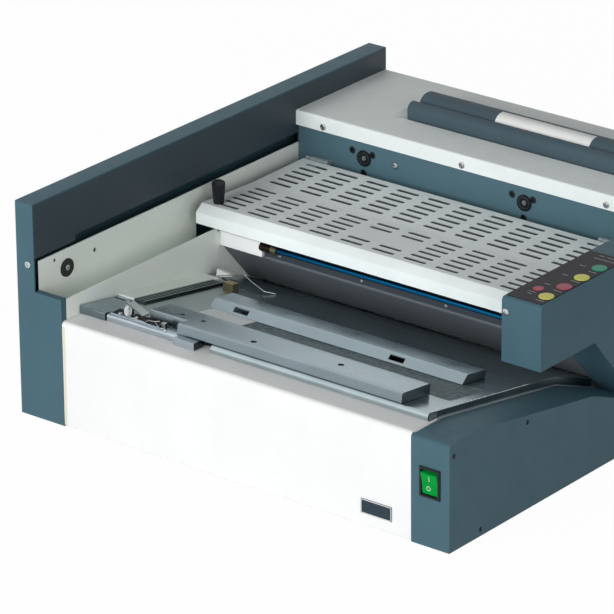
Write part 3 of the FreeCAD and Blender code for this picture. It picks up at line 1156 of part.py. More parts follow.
def guide_rods():
    """Two carriage rails along X and two clamp guide rods along Y."""
    rails = [rod("x", y, RAILS_Z, (FRAME_X[0] + FRAME_THICK, FRAME_X[1]), RAIL_RADIUS) for y in RAILS_Y]
    guides = [rod("y", x, ADJUSTER_Z, (WALL_Y + 2 * SHEET, REAR_PANEL_Y), GUIDE_ROD_RADIUS)
              for x in GUIDE_RODS_X]
    return rails + guides


def carriage_plate():
    """Carriage with long bearings on the rails and a nut on the drive screw."""
    plate = block(CARRIAGE_X, CARRIAGE_Y, (CARRIAGE_Z, CARRIAGE_Z + CARRIAGE_THICK))
    blocks = [block(CARRIAGE_X, (y - BEARING_HALF, y + BEARING_HALF), (RAILS_Z - BEARING_HALF, CARRIAGE_Z))
              for y in RAILS_Y]
    blocks.append(block((CARRIAGE_X[0] + NUT_INSET, CARRIAGE_X[1] - NUT_INSET),
                        (SPINE_Y - NUT_HALF, SPINE_Y + NUT_HALF), (SCREW_Z - NUT_HALF, CARRIAGE_Z)))
    through = (CARRIAGE_X[0] - PAST, CARRIAGE_X[1] + PAST)
    bores = [rod("x", y, RAILS_Z, through, RAIL_RADIUS + RUNNING) for y in RAILS_Y]
    bores.append(rod("x", SPINE_Y, SCREW_Z, through, SCREW_RADIUS + RUNNING))
    return remove(join([plate] + blocks), bores)


def drive_motor():
    """Motor at the left end of the drive screw, standing on the pan."""
    body = block(MOTOR_X, (SPINE_Y - MOTOR_HALF, SPINE_Y + MOTOR_HALF), (FLOOR, SCREW_Z + MOTOR_HALF))
    body = round_where(body, MOTOR_ROUND, lambda p, d: abs(d.x) > 0.9 and p.z > SCREW_Z)
    neck = rod("x", SPINE_Y, SCREW_Z, (MOTOR_X[1], FRAME_X[0]), MOTOR_NECK)
    span = (MOTOR_X[1] - SHAFT_IN_MOTOR - SHAFT_END_GAP, FRAME_X[0] + PAST)
    return join([body, neck]).cut(rod("x", SPINE_Y, SCREW_Z, span, SCREW_RADIUS + RUNNING))


def drive_screw():
    """Long drive screw between the frame plates."""
    return rod("x", SPINE_Y, SCREW_Z, (MOTOR_X[1] - SHAFT_IN_MOTOR, FRAME_X[1] + SCREW_PAST), SCREW_RADIUS)


def cutter_motor():
    """Upright milling motor on the carriage."""
    low = CARRIAGE_Z + CARRIAGE_THICK
    body = rod("z", CUTTER_X, SPINE_Y, (low, CUTTER_MOTOR_TOP), CUTTER_MOTOR_RADIUS)
    half, height, inset = CUTTER_RIB
    reach = CUTTER_MOTOR_RADIUS + height
    ribs = []
    for turn in (0, 90):
        rib = block((CUTTER_X - half, CUTTER_X + half), (SPINE_Y - reach, SPINE_Y + reach),
                    (low + inset, CUTTER_MOTOR_TOP - inset))
        rib.rotate(V(CUTTER_X, SPINE_Y, 0), V(0, 0, 1), turn)
        ribs.append(rib)
    span = (CUTTER_MOTOR_TOP - CUTTER_SHAFT_IN - CUTTER_BORE_PAST, CUTTER_MOTOR_TOP + PAST)
    return join([body] + ribs).cut(rod("z", CUTTER_X, SPINE_Y, span, CUTTER_SHAFT + RUNNING))


def milling_cutter():
    """Disc with carbide teeth on an upright shaft."""
    shaft = rod("z", CUTTER_X, SPINE_Y, (CUTTER_MOTOR_TOP - CUTTER_SHAFT_IN, CUTTER_Z[0]), CUTTER_SHAFT)
    disc = rod("z", CUTTER_X, SPINE_Y, CUTTER_Z, CUTTER_RADIUS)
    length, width, height = CUTTER_TOOTH
    outer = CUTTER_X + CUTTER_RADIUS - CUTTER_TOOTH_INSET
    teeth = []
    for index in range(CUTTER_TEETH):
        tooth = block((outer - length, outer),
                      (SPINE_Y - width / 2, SPINE_Y + width / 2), (CUTTER_Z[1], CUTTER_Z[1] + height))
        tooth.rotate(V(CUTTER_X, SPINE_Y, 0), V(0, 0, 1), 360.0 * index / CUTTER_TEETH)
        teeth.append(tooth)
    return join([shaft, disc] + teeth)


def glue_tank():
    """Open tank on the carriage with bearing holes for the two rollers."""
    outer = block(TANK_X, TANK_Y, (CARRIAGE_Z + CARRIAGE_THICK, TANK_TOP))
    inner = block((TANK_X[0] + TANK_WALL, TANK_X[1] - TANK_WALL),
                  (TANK_Y[0] + TANK_WALL, TANK_Y[1] - TANK_WALL),
                  (CARRIAGE_Z + CARRIAGE_THICK + TANK_WALL, TANK_TOP + PAST))
    bores = [rod("y", x, ROLLER_Z, (TANK_Y[0] - PAST, TANK_Y[1] + PAST), ROLLER_SHAFT + RUNNING)
             for x in ROLLERS_X]
    return remove(outer, [inner] + bores)


def glue_roller(x):
    """Glue roller and its shaft."""
    ends = (TANK_Y[0] + TANK_WALL + ROLLER_END_GAP, TANK_Y[1] - TANK_WALL - ROLLER_END_GAP)
    return join([rod("y", x, ROLLER_Z, ends, ROLLER_RADIUS), rod("y", x, ROLLER_Z, TANK_Y, ROLLER_SHAFT)])


# ================================================================ fasteners
def button_head(axis, u, v, face, out, radius=SCREW_HEAD_RADIUS, height=SCREW_HEAD_HEIGHT):
    """Domed screw head on a face; out is the direction along the axis, plus or minus one."""
    w = (face, face + height) if out > 0 else (face - height, face)
    head = rod(axis, u, v, w, radius)
    tip = face + out * height
    rims = [edge for edge in head.Edges if edge.Curve.TypeId == "Part::GeomCircle" and
            near(edge.CenterOfMass.dot(point(axis, 0, 0, 1)), tip)]
    return head.makeFillet(min(height, radius) * HEAD_ROUNDING, rims)


def silver_screws():
    """Bright screws on the wall, the lid's lip, the clamp wall, the housing, the beam and the bumper."""
    heads = [button_head("y", *WALL_SCREW, 0.0, -1, height=WALL_SCREW_HEIGHT),
             button_head("y", *HOUSING_SCREW, HOUSING_FRONT, -1),
             button_head("y", *CLAMP_WALL_SCREW, WALL_Y, -1)]
    heads += [button_head("y", x, LIP_SCREW_Z, LID_FRONT, -1) for x in LIP_SCREWS_X]
    count = int((HOUSING_LEFT - BEAM_STUD_FIRST) / BEAM_STUD_PITCH) + 1
    heads += [button_head("y", BEAM_STUD_FIRST + BEAM_STUD_PITCH * index, BEAM_STUD_Z, BEAM_Y, -1,
                          SMALL_HEAD_RADIUS, SMALL_HEAD_HEIGHT) for index in range(count)]
    span = (LEFT_WALL - SHEET, LEFT_WALL + BUMPER_HEIGHT - BUMPER_ROUND)
    return heads + [rod("x", BUMPER_Y, BUMPER_Z, span, BUMPER_BOLT_RADIUS)]


def black_screws():
    """Countersunk black screws in the right covers."""
    heads = []
    for y, z in BLACK_SCREWS:
        head = rod("x", y, z, (WIDTH - BLACK_HEAD_DEPTH, WIDTH - BLACK_HEAD_SUNK), BLACK_HEAD_RADIUS)
        width, depth = BLACK_SLOT
        slot = block((WIDTH - depth, WIDTH + PAST), (y - width / 2, y + width / 2),
                     (z - BLACK_HEAD_RADIUS, z + BLACK_HEAD_RADIUS))
        heads.append(head.cut(slot))
    return heads


# ================================================================ build and export
def build():
    """Make every node."""
    keep("base_pan", base_pan())
    keep("rubber_feet", *rubber_feet())
    keep("front_panel", front_panel())
    keep("left_side_cover", left_side_cover())
    keep("left_inner_panel", left_inner_panel())
    keep("left_liner", left_liner())
    keep("liner_bumper", liner_bumper())
    keep("right_side_cover", right_side_cover())
    keep("control_housing", control_housing())
    keep("control_panel", control_panel())
    for name, place in zip(("button_front_yellow", "button_small_red", "button_red", "button_yellow",
                            "button_green"), button_places()):
        keep(name, push_button(place))
    keep("control_board", control_board())
    keep("rocker_bezel", rocker_bezel())
    keep("rocker", rocker())
    keep("nameplate", nameplate())
    keep("lid", lid())
    keep("clamp_front_wall", clamp_front_wall())
    keep("adjuster_bushes", *adjuster_bushes())
    keep("front_jaw", front_jaw())
    keep("rear_jaw", rear_jaw())
    keep("clamp_actuators", *actuators())
    keep("actuator_rods", *actuator_rods())
    keep("guard_cover", guard_cover())
    keep("guard_knob", guard_knob())
    keep("guard_hinge_leaves", *guard_hinge_leaves())
    keep("hinge_pins", *hinge_pins())
    keep("cover_table", cover_table())
    keep("spine_strip", spine_strip())
    keep("table_end_block", table_end_block())
    keep("table_rail", table_rail())
    keep("nip_plate_front", nip_plate_front())
    keep("nip_plate_rear", nip_plate_rear())
    keep("side_lay_bar", side_lay_bar())
    keep("lay_lever", lay_lever())
    keep("rod_beam", rod_beam())
    keep("chute_panel", chute_panel())
    keep("blue_guide_rod", blue_guide_rod())
    keep("brass_fittings", *brass_fittings())
    keep("rod_bracket", rod_bracket())
    keep("feed_block", feed_block())
    keep("hold_down_wire", hold_down_wire())
    keep("right_inner_panel", right_inner_panel())
    keep("rear_panel", rear_panel())
    keep("power_inlet", power_inlet())
    keep("frame_plates", *frame_plates())
    keep("guide_rods", *guide_rods())
    keep("carriage_plate", carriage_plate())
    keep("drive_motor", drive_motor())
    keep("drive_screw", drive_screw())
    keep("cutter_motor", cutter_motor())
    keep("milling_cutter", milling_cutter())
    keep("glue_tank", glue_tank())
    keep("glue_roller_left", glue_roller(ROLLERS_X[0]))
    keep("glue_roller_right", glue_roller(ROLLERS_X[1]))
    keep("silver_screws", *silver_screws())
    keep("black_screws", *black_screws())


def origin_shift():
    """Move that puts the origin on the table surface under the middle of the machine."""
    box = FreeCAD.BoundBox()
    for solids in NODES.values():
        for solid in solids:
            box.add(solid.BoundBox)
    return V(-box.Center.x, -box.Center.y, -box.ZMin)


def export():
    """Move every node into the shared frame and write it."""
    os.makedirs("parts", exist_ok=True)
    shift = origin_shift()
    for name, solids in NODES.items():
        shape = solids[0] if len(solids) == 1 else Part.makeCompound(solids)
        shape = shape.copy()
        shape.translate(shift)
        shape.exportStep(os.path.join("parts", name + ".step"))


build()
export()
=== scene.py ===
"""Looks of a desktop perfect binding machine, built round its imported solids."""

import logging
import math
from collections.abc import Sequence
from dataclasses import dataclass
from enum import Enum
from functools import lru_cache
from typing import ClassVar

import bmesh
import bpy
from mathutils import Matrix, Vector


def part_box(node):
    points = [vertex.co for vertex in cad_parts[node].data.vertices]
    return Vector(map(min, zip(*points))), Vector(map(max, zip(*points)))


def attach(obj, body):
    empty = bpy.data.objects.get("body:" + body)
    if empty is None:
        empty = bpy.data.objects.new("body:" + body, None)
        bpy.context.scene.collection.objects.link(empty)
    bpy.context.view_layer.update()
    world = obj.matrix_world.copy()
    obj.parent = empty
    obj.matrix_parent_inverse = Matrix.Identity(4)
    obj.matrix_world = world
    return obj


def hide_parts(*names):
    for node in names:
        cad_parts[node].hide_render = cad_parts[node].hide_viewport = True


logging.basicConfig(level=logging.INFO, format="%(name)s: %(message)s")
LOG = logging.getLogger("binder")

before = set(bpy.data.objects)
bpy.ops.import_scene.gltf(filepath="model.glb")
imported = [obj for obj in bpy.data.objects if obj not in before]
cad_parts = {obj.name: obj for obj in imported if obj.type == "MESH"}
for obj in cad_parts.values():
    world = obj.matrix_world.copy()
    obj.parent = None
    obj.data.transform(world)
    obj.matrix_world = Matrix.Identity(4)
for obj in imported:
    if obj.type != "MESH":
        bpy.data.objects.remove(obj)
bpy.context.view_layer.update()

MM = 0.001
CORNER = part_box("left_side_cover")[0]       # front lower left corner of the covers

Tree = bpy.types.NodeTree
Socket = bpy.types.NodeSocket
Shape = bmesh.types.BMesh
Pair = tuple[float, float]
Inputs = dict[str | int, object]
Colour = tuple[float, float, float, float]

NOISE_SPAN = (0.3, 0.7)     # most of a noise lies between these


# ---- places and directions
class Facing(Enum):
    """Directions that a fastener or a mark can face."""

    FRONT = (0.0, -1.0, 0.0)
    BACK = (0.0, 1.0, 0.0)
    RIGHT = (1.0, 0.0, 0.0)
    UP = (0.0, 0.0, 1.0)
    DOWN = (0.0, 0.0, -1.0)


class Slot(Enum):
    """Material slot names in the record; nothing in the script reads them."""

    ZINC = "bright_zinc"
    STEEL = "polished_steel"
    WHITE = "white_plastic"
    RUBBER = "black_rubber"
    BLACK_SCREW = "black_screw"
    FILM = "overlay_film"
    ALLOY = "nameplate_alloy"
    MACHINED = "machined_steel"
    BRASS = "brass"


def at(x: float, y: float, z: float) -> Vector:
    """Point in metres, from millimetres right of, behind and above the covers' front lower left corner."""
    return CORNER + Vector((x, y, z)) * MM


def facing_matrix(place: Vector, out: Facing | Vector, turn: float = 0.0) -> Matrix:
    """Place something so that its local Z points out.

    Args:
        place: the origin in metres.
        out: the direction of local Z.
        turn: turn about local Z in degrees.

    Returns:
        The placement.
    """
    away = Vector(out.value) if isinstance(out, Facing) else out
    rotation = away.to_track_quat("Z", "Y").to_matrix().to_4x4()
    return Matrix.Translation(place) @ rotation @ Matrix.Rotation(math.radians(turn), 4, "Z")


# ---- colour and node helpers
def linear(colour: str) -> Colour:
    """Linear red, green, blue and alpha of an sRGB hex colour.

    Args:
        colour: six hex digits after a hash.

    Returns:
        The four values, the last of them 1.
    """
    parts = [int(colour[i:i + 2], 16) / 255 for i in (1, 3, 5)]
    red, green, blue = [c / 12.92 if c <= 0.04045 else ((c + 0.055) / 1.055) ** 2.4 for c in parts]
    return red, green, blue, 1.0


def per_metre(millimetres: float) -> float:
    """Texture scale of a pattern that repeats at a real size in millimetres."""
    return 1.0 / (millimetres * MM)


def settled(thing: bpy.types.bpy_struct, **settings: object) -> bpy.types.bpy_struct:
    """Set some attributes in their order.

    Args:
        thing: what has the attributes.
        settings: their names and values.

    Returns:
        The thing itself.
    """
    for key, value in settings.items():
        setattr(thing, key, value)
    return thing


def add(tree: Tree, kind: str, links: Inputs | None = None, **settings: object) -> bpy.types.Node:
    """Add a node with its settings and links.

    Args:
        tree: the node tree.
        kind: the shader node's type without its prefix.
        links: input name or index to a socket, which is linked, or to a value, which is set.
        settings: attributes of the node.

    Returns:
        The node.
    """
    node = settled(tree.nodes.new("ShaderNode" + kind), **settings)
    for key, value in (links or {}).items():
        if isinstance(value, Socket):
            tree.links.new(value, node.inputs[key])
        else:
            node.inputs[key].default_value = value
    return node


def emptied(holder: bpy.types.Material | bpy.types.World) -> Tree:
    """Clear the nodes of a material or a world.

    Args:
        holder: the material or the world.

    Returns:
        Its empty node tree.
    """
    holder.use_nodes = True
    holder.node_tree.nodes.clear()
    return holder.node_tree


def shades(tree: Tree, factor: Socket, dark: Colour, light: Colour, span: Pair = NOISE_SPAN) -> Socket:
    """Go from one colour to another as a factor grows.

    Args:
        tree: the node tree.
        factor: the socket that runs from 0 to 1.
        dark: linear colour where the span starts.
        light: linear colour where it ends.
        span: part of the factor over which the colour changes.

    Returns:
        The colour socket.
    """
    ramp = add(tree, "ValToRGB", {"Fac": factor})
    for element, position, colour in zip(ramp.color_ramp.elements, span, (dark, light)):
        settled(element, position=position, color=colour)
    return ramp.outputs["Color"]


# ---- finishes
@dataclass(frozen=True)
class Noise:
    """Pattern whose grain has a real size in millimetres, or one for each axis."""

    size: float | tuple
    detail: float = 3.0         # octaves
    roughness: float = 0.5      # weight of the finer octaves

    def drawn(self, tree: Tree) -> Socket:
        """Draw the pattern over the piece's own coordinates.

        Args:
            tree: the node tree.

        Returns:
            The factor socket.
        """
        sizes = self.size if isinstance(self.size, tuple) else (self.size,) * 3
        coordinates = add(tree, "TexCoord").outputs["Object"]
        mapping = add(tree, "Mapping", {"Vector": coordinates, "Scale": tuple(per_metre(s) for s in sizes)})
        return add(tree, "TexNoise", {"Vector": mapping.outputs["Vector"], "Scale": 1.0,
                                      "Detail": self.detail, "Roughness": self.roughness}).outputs["Fac"]


@dataclass(frozen=True)
class Finish:
    """A real surface, with one pattern each for its colour, its roughness and its relief."""

    name: str
    colour: str
    tint: Noise = Noise(10.0)
    swing: float = 0.1          # share of the colour to each side
    wear: Noise = Noise(10.0)
    roughness: float = 0.5
    spread: Pair = (-0.05, 0.1)                 # how far the roughness goes to each side
    height: Noise = Noise(10.0)
    depth: float = 0.01         # mm
    strength: float = 0.5       # share of the relief that shows
    metallic: float = 0.0
    ior: float = 1.5
    shine: float = 0.5          # strength of a skin's own reflection

    def base(self, tree: Tree, factor: Socket) -> Socket:
        """Make the surface's colour, which swings a little darker and lighter with the tint.

        Args:
            tree: the material's node tree.
            factor: the factor of the tint.

        Returns:
            The colour socket.
        """
        middle = linear(self.colour)[:3]
        dark, light = ((*(min(part * share, 1.0) for part in middle), 1.0)
                       for share in (1 - self.swing, 1 + self.swing))
        return shades(tree, factor, dark, light)

    def more(self) -> Inputs:
        """What only this kind of finish sets."""
        return {}

    def inputs(self, tree: Tree) -> Inputs:
        """Draw the three patterns in the tree and bring them together for the surface shader."""
        drawn = {pattern: pattern.drawn(tree) for pattern in (self.tint, self.wear, self.height)}
        return self.look(tree, self.base(tree, drawn[self.tint]), drawn[self.wear], drawn[self.height])

    def look(self, tree: Tree, colour: Socket, wear: Socket, height: Socket) -> Inputs:
        """Bring the patterns together.

        Args:
            tree: the material's node tree.
            colour: the colour socket.
            wear: the factor that the roughness follows.
            height: the factor that the relief follows.

        Returns:
            Values and sockets for the inputs of the surface shader.
        """
        rough = add(tree, "MapRange", {
            "Value": wear, "From Min": NOISE_SPAN[0], "From Max": NOISE_SPAN[1],
            "To Min": self.roughness + self.spread[0], "To Max": self.roughness + self.spread[1]})
        relief = add(tree, "Bump", {"Height": height, "Distance": self.depth * MM, "Strength": self.strength})
        return {"Base Color": colour, "Roughness": rough.outputs["Result"], "Metallic": self.metallic,
                "IOR": self.ior, "Specular IOR Level": self.shine, "Normal": relief.outputs["Normal"],
                **self.more()}

    @lru_cache(maxsize=None)
    def material(self) -> bpy.types.Material:
        """Make the material, once.

        Returns:
            The material.
        """
        material = bpy.data.materials.new(self.name)
        tree = emptied(material)
        surface = add(tree, "BsdfPrincipled", self.inputs(tree))
        add(tree, "OutputMaterial", {"Surface": surface.outputs["BSDF"]})
        return material


@dataclass(frozen=True)
class PowderCoat(Finish):
    """Baked powder coat on sheet steel: an even satin skin, whose orange peel breaks up highlights."""

    tint: Noise = Noise(70.0, 4.0, 0.6)
    swing: float = 0.05
    wear: Noise = Noise(18.0, 4.0, 0.6)
    roughness: float = 0.55
    spread: Pair = (-0.04, 0.05)
    height: Noise = Noise(2.4, 2.0)             # a peel coarser than the real 0.8 mm so that it shows
    depth: float = 0.025
    strength: float = 0.6
    shine: float = 0.4


@dataclass(frozen=True)
class PaintedSlotShadeCoat(PowderCoat):
    """Powder coat on a slotted sheet, with painted shade: the upright faces inside the slots take a darker
    colour.
    """

    start: float = 0.0          # metres; the slots lie behind this line
    steep: float = 0.35         # upward part of the normal under which a face takes the painted shade
    # colour of the painted shade in the slots
    edge: str = "#7C8486"

    def base(self, tree: Tree, factor: Socket) -> Socket:
        """Make the coat's colour, with painted shade on the upright faces behind the slots' front line.

        Args:
            tree: the material's node tree.
            factor: the factor of the tint.

        Returns:
            The colour socket.
        """
        face = add(tree, "SeparateXYZ", {"Vector": add(tree, "NewGeometry").outputs["Normal"]}).outputs["Z"]
        place = add(tree, "SeparateXYZ", {"Vector": add(tree, "TexCoord").outputs["Object"]}).outputs["Y"]
        level = add(tree, "Math", {0: face}, operation="ABSOLUTE").outputs[0]
        upright = add(tree, "Math", {0: level, 1: self.steep}, operation="LESS_THAN").outputs[0]
        behind = add(tree, "Math", {0: place, 1: self.start}, operation="GREATER_THAN").outputs[0]
        # mask of the painted slot shade
        cut = add(tree, "Math", {0: upright, 1: behind}, operation="MULTIPLY").outputs[0]
        colours = {"Fac": cut, "Color1": super().base(tree, factor), "Color2": linear(self.edge)}
        return add(tree, "MixRGB", colours).outputs["Color"]


@dataclass(frozen=True)
class SheetSteel(Finish):
    """Cold-rolled steel sheet, polished along its length: lines that stretch the reflections, oily clouds,
    and painted light and shade by face direction.
    """

    tint: Noise = Noise((60.0, 34.0, 34.0), 5.0, 0.65)
    wear: Noise = Noise((60.0, 34.0, 34.0), 5.0, 0.65)
    spread: Pair = (-0.03, 0.06)
    height: Noise = Noise((180.0, 0.9, 0.9), 3.0, 0.6)      # lines coarser than the real 0.1 mm, to show
    depth: float = 0.004
    metallic: float = 1.0
    upright: float = 0.7        # painted light and shade on front faces, as a share of the colour
    ends: float = 0.16          # painted shade on side faces, as a share of the colour

    def base(self, tree: Tree, factor: Socket) -> Socket:
        """Make the metal's colour, with painted light and shade on the front and side faces by their
        direction.

        Args:
            tree: the material's node tree.
            factor: the factor of the tint.

        Returns:
            The colour socket.
        """
        parts = add(tree, "SeparateXYZ", {"Vector": add(tree, "NewGeometry").outputs["Normal"]})
        # share of the colour kept: painted light and shade by the face's direction
        painted_facing_light = 1.0
        for axis, share in (("X", self.ends), ("Y", self.upright)):
            square = add(tree, "Math", {0: parts.outputs[axis], 1: 2.0}, operation="POWER").outputs[0]
            painted_facing_light = add(tree, "Math", {0: square, 1: share - 1.0, 2: painted_facing_light},
                       operation="MULTIPLY_ADD").outputs[0]
        scaled = add(tree, "VectorMath", {0: super().base(tree, factor), "Scale": painted_facing_light}, operation="SCALE")
        return scaled.outputs["Vector"]


@dataclass(frozen=True)
class MachinedSteel(Finish):
    """Ground or turned steel: tight cutter marks that scatter the highlights, and an even grey shine."""

    tint: Noise = Noise(24.0, 4.0, 0.6)
    wear: Noise = Noise((0.8, 26.0, 0.8), 2.0)              # the marks
    roughness: float = 0.3
    height: Noise = Noise((0.8, 26.0, 0.8), 2.0)
    strength: float = 0.6
    metallic: float = 1.0


@dataclass(frozen=True)
class PlatedMetal(Finish):
    """Plated or turned small parts: clean reflections, slightly uneven where the plating pooled."""

    tint: Noise = Noise(3.0)
    swing: float = 0.08
    wear: Noise = Noise(3.0)
    roughness: float = 0.2
    height: Noise = Noise(1.2, 2.0)             # handling marks
    depth: float = 0.006
    metallic: float = 1.0


@dataclass(frozen=True)
class MouldedPlastic(Finish):
    """Injection-moulded plastic: even dyed colour and a fine grain, matt or under a thin clear skin."""

    tint: Noise = Noise(9.0)
    swing: float = 0.05
    wear: Noise = Noise(1.1, 2.0)               # a grain coarser than the real 0.2 mm so that it shows
    roughness: float = 0.45
    spread: Pair = (-0.06, 0.06)
    height: Noise = Noise(1.1, 2.0)
    depth: float = 0.012
    ior: float = 1.52
    coat: float = 0.0
    # strength of a painted glow in the dye's own colour
    glow: float = 0.0

    def more(self) -> Inputs:
        """The clear skin, and a painted glow: the dye's own colour given out as light."""
        return {"Coat Weight": self.coat, "Coat Roughness": 0.12, "Emission Color": linear(self.colour),
                "Emission Strength": self.glow}


@dataclass(frozen=True)
class Rubber(Finish):
    """Moulded nitrile rubber: matt black with a bloom of grey in patches."""

    tint: Noise = Noise(4.0, 4.0, 0.6)
    swing: float = 0.3
    wear: Noise = Noise(4.0, 4.0, 0.6)
    roughness: float = 0.72
    spread: Pair = (-0.08, 0.08)
    height: Noise = Noise(0.9)
    depth: float = 0.03
    strength: float = 0.6
    ior: float = 1.52


@dataclass(frozen=True)
class GripStrip(Finish):
    """Cork-filled rubber strip: dark crumbs in a grey binder, worn shiny in places, with a coarse relief."""

    crumb: float = 5.0          # mm, the larger crumbs
    light: str = "#4C6066"      # the worn patches
    span: Pair = (0.12, 0.42)   # crumbs below it, worn patches above it
    wear: Noise = Noise((26.0, 7.0, 7.0), 5.0, 0.7)
    roughness: float = 0.35
    spread: Pair = (0.0, 0.35)
    depth: float = 0.06

    def inputs(self, tree: Tree) -> Inputs:
        """Draw crumbs and worn patches.

        Args:
            tree: the material's node tree.

        Returns:
            Values and sockets for the inputs of the surface shader.
        """
        coordinates = add(tree, "TexCoord").outputs["Object"]
        crumbs = add(tree, "TexVoronoi", {"Vector": coordinates, "Scale": per_metre(self.crumb)})
        crumbs, patches = crumbs.outputs["Distance"], self.wear.drawn(tree)
        mixed = add(tree, "Math", {0: crumbs, 1: patches}, operation="MULTIPLY").outputs[0]
        colour = shades(tree, mixed, linear(self.colour), linear(self.light), self.span)
        return self.look(tree, colour, patches, crumbs)


@dataclass(frozen=True)
class AnodisedAluminium(Finish):
    """Dyed anodised aluminium: a saturated, slightly glossy metal with long drawing lines."""

    tint: Noise = Noise((120.0, 0.7, 0.7), 3.0, 0.6)
    swing: float = 0.12
    wear: Noise = Noise((120.0, 0.7, 0.7), 3.0, 0.6)
    height: Noise = Noise((120.0, 0.7, 0.7), 3.0, 0.6)
    metallic: float = 1.0


@dataclass(frozen=True)
class OverlayFilm(Finish):
    """Screen-printed polyester film over a control panel: an even print with a soft, velvety sheen."""

    tint: Noise = Noise(30.0)
    swing: float = 0.06
    wear: Noise = Noise(1.0, 2.0)
    roughness: float = 0.48
    spread: Pair = (0.0, 0.12)
    height: Noise = Noise(1.0, 2.0)
    strength: float = 0.6
    ior: float = 1.45
    shine: float = 0.2


@dataclass(frozen=True)
class HotMeltGlue(Finish):
    """Hot-melt bookbinding glue: cloudy amber, glossy on top, with light that enters and comes back."""

    tint: Noise = Noise(12.0, 4.0, 0.6)
    swing: float = 0.15
    wear: Noise = Noise(12.0, 4.0, 0.6)
    roughness: float = 0.1
    spread: Pair = (0.0, 0.15)
    height: Noise = Noise(12.0, 4.0, 0.6)
    depth: float = 0.4
    ior: float = 1.48

    def more(self) -> Inputs:
        """The light that enters."""
        return {"Subsurface Weight": 0.3, "Subsurface Radius": (0.006, 0.004, 0.002)}


SLOTS_FRONT = CORNER.y + 252.5 * MM
SANDY_PEEL = Noise(2.0, 2.0)
COARSE_PEEL = Noise(3.0, 2.0)
TURNING = Noise((0.6, 26.0, 0.6), 2.0)
SINTERING = Noise((1.2, 26.0, 1.2), 2.0)

# Baked coats: quiet satin colours that part the covers, the working zone and the loose parts for the eye.
BLUE_GREY_COAT = PowderCoat("blue_grey_powder_coat", "#415F6B", shine=0.3)
BEIGE_COAT = PowderCoat("beige_powder_coat", "#EEF5F4", height=SANDY_PEEL, depth=0.035)
WHITE_COAT = PowderCoat("white_powder_coat", "#E9EAEA", roughness=0.5, swing=0.02)
# the bracket's white, lightened as painted light where the guard's flange shades it
BRACKET_COAT = PowderCoat("white_coat_lightened_as_painted_light", "#FCFDFF", roughness=0.5, swing=0.02)
DARK_COAT = PowderCoat("dark_grey_powder_coat", "#3A3F46", roughness=0.45)
# the chute's dark grey, lightened as painted light against the guard's shadow
CHUTE_COAT = PowderCoat("dark_grey_coat_lightened_as_painted_light", "#5F656A", roughness=0.45)
# the guard's beige, with painted shade in its slots
GUARD_COAT = PaintedSlotShadeCoat("beige_powder_coat_with_painted_slot_shade", "#F2FAF9", height=SANDY_PEEL, depth=0.035,
                         start=SLOTS_FRONT)
# the liner's own beige, raised a little as painted light
LINER_COAT = PowderCoat("beige_coat_with_painted_light", "#F5FEF5", height=SANDY_PEEL, depth=0.03)
INNER_COAT = PowderCoat("slate_powder_coat", "#37434B", roughness=0.5)
JAW_COAT = PowderCoat("deep_blue_grey_powder_coat", "#45565F", roughness=0.65, shine=0.3)
# the clamp wall's blue-grey, lightened as painted light where the lid shades it
LIGHTENED_WALL_COAT = PowderCoat("blue_grey_coat_lightened_as_painted_light", "#4E6C77", shine=0.3)
HINGE_COAT = PowderCoat("light_grey_powder_coat", "#8F9CA0", roughness=0.5)
CREAM_ENAMEL = PowderCoat("cream_enamel", "#D8D6C4", roughness=0.45)
# the pad's enamel, lightened near white as painted light against the front plate's shadow
PAD_FOIL = PowderCoat("pad_enamel_lightened_as_painted_light", "#FAFFFE", roughness=0.5)
MOTOR_ENAMEL = PowderCoat("black_motor_enamel", "#26292C", height=COARSE_PEEL, roughness=0.34)
# Bare and plated steels: the table mirrors its surroundings, the plates and levers grow duller with wear;
# upright and ends paint light and shade on their front and side faces.
POLISHED_STEEL = SheetSteel("polished_sheet_steel", "#A2B0B4", roughness=0.22, upright=1.45, ends=0.5)
OILED_STEEL = SheetSteel("oiled_sheet_steel", "#6A787A", roughness=0.3, upright=0.9)
PLATE_STEEL = SheetSteel("nickel_plated_sheet_steel", "#98A8AF", roughness=0.28, swing=0.08, upright=0.76,
                         ends=0.3)
LAY_STEEL = SheetSteel("ground_sheet_steel", "#BCC8D0", roughness=0.3, swing=0.06, upright=1.15)
LEVER_STEEL = SheetSteel("tumbled_sheet_steel", "#B4BABA", roughness=0.5, swing=0.06)
GROUND_STEEL = MachinedSteel("ground_steel", "#A9AEB0")
DARK_STEEL = MachinedSteel("phosphated_steel", "#50565A", roughness=0.42)
TURNED_STEEL = MachinedSteel("turned_steel", "#B4B8BA", roughness=0.22, wear=TURNING, height=TURNING)
CARBIDE = MachinedSteel("sintered_carbide_steel", "#8C8F93", roughness=0.36, wear=SINTERING, height=SINTERING)
# Small plated parts: bright points among the painted sheets, the oxide and bronze ones nearly black.
BRIGHT_ZINC = PlatedMetal("bright_zinc_plate", "#CDD0D2")
DULL_BRASS = PlatedMetal("dull_brass", "#AE9E7A", roughness=0.35)
DARK_BRONZE = PlatedMetal("patinated_bronze", "#4A3E38", roughness=0.4)
BLACK_OXIDE = PlatedMetal("black_oxide_steel", "#2E2F31", roughness=0.38)
# Rubber, the black sheet of painted shade under the guard, and plastics: matt darks, and saturated caps with
# a painted glow that draw the eye to the controls.
BLACK_RUBBER = Rubber("black_nitrile_rubber", "#1D1D1E")
# a black sheet of painted shade under the guard's slots
SHADE_SHEET = Rubber("black_sheet_of_painted_shade", "#1C1E20", roughness=0.9)
BLACK_NYLON = MouldedPlastic("black_moulded_nylon", "#15181B", roughness=0.5, shine=0.3)
WHITE_ACETAL = MouldedPlastic("white_moulded_acetal", "#E6E6E2", roughness=0.4)
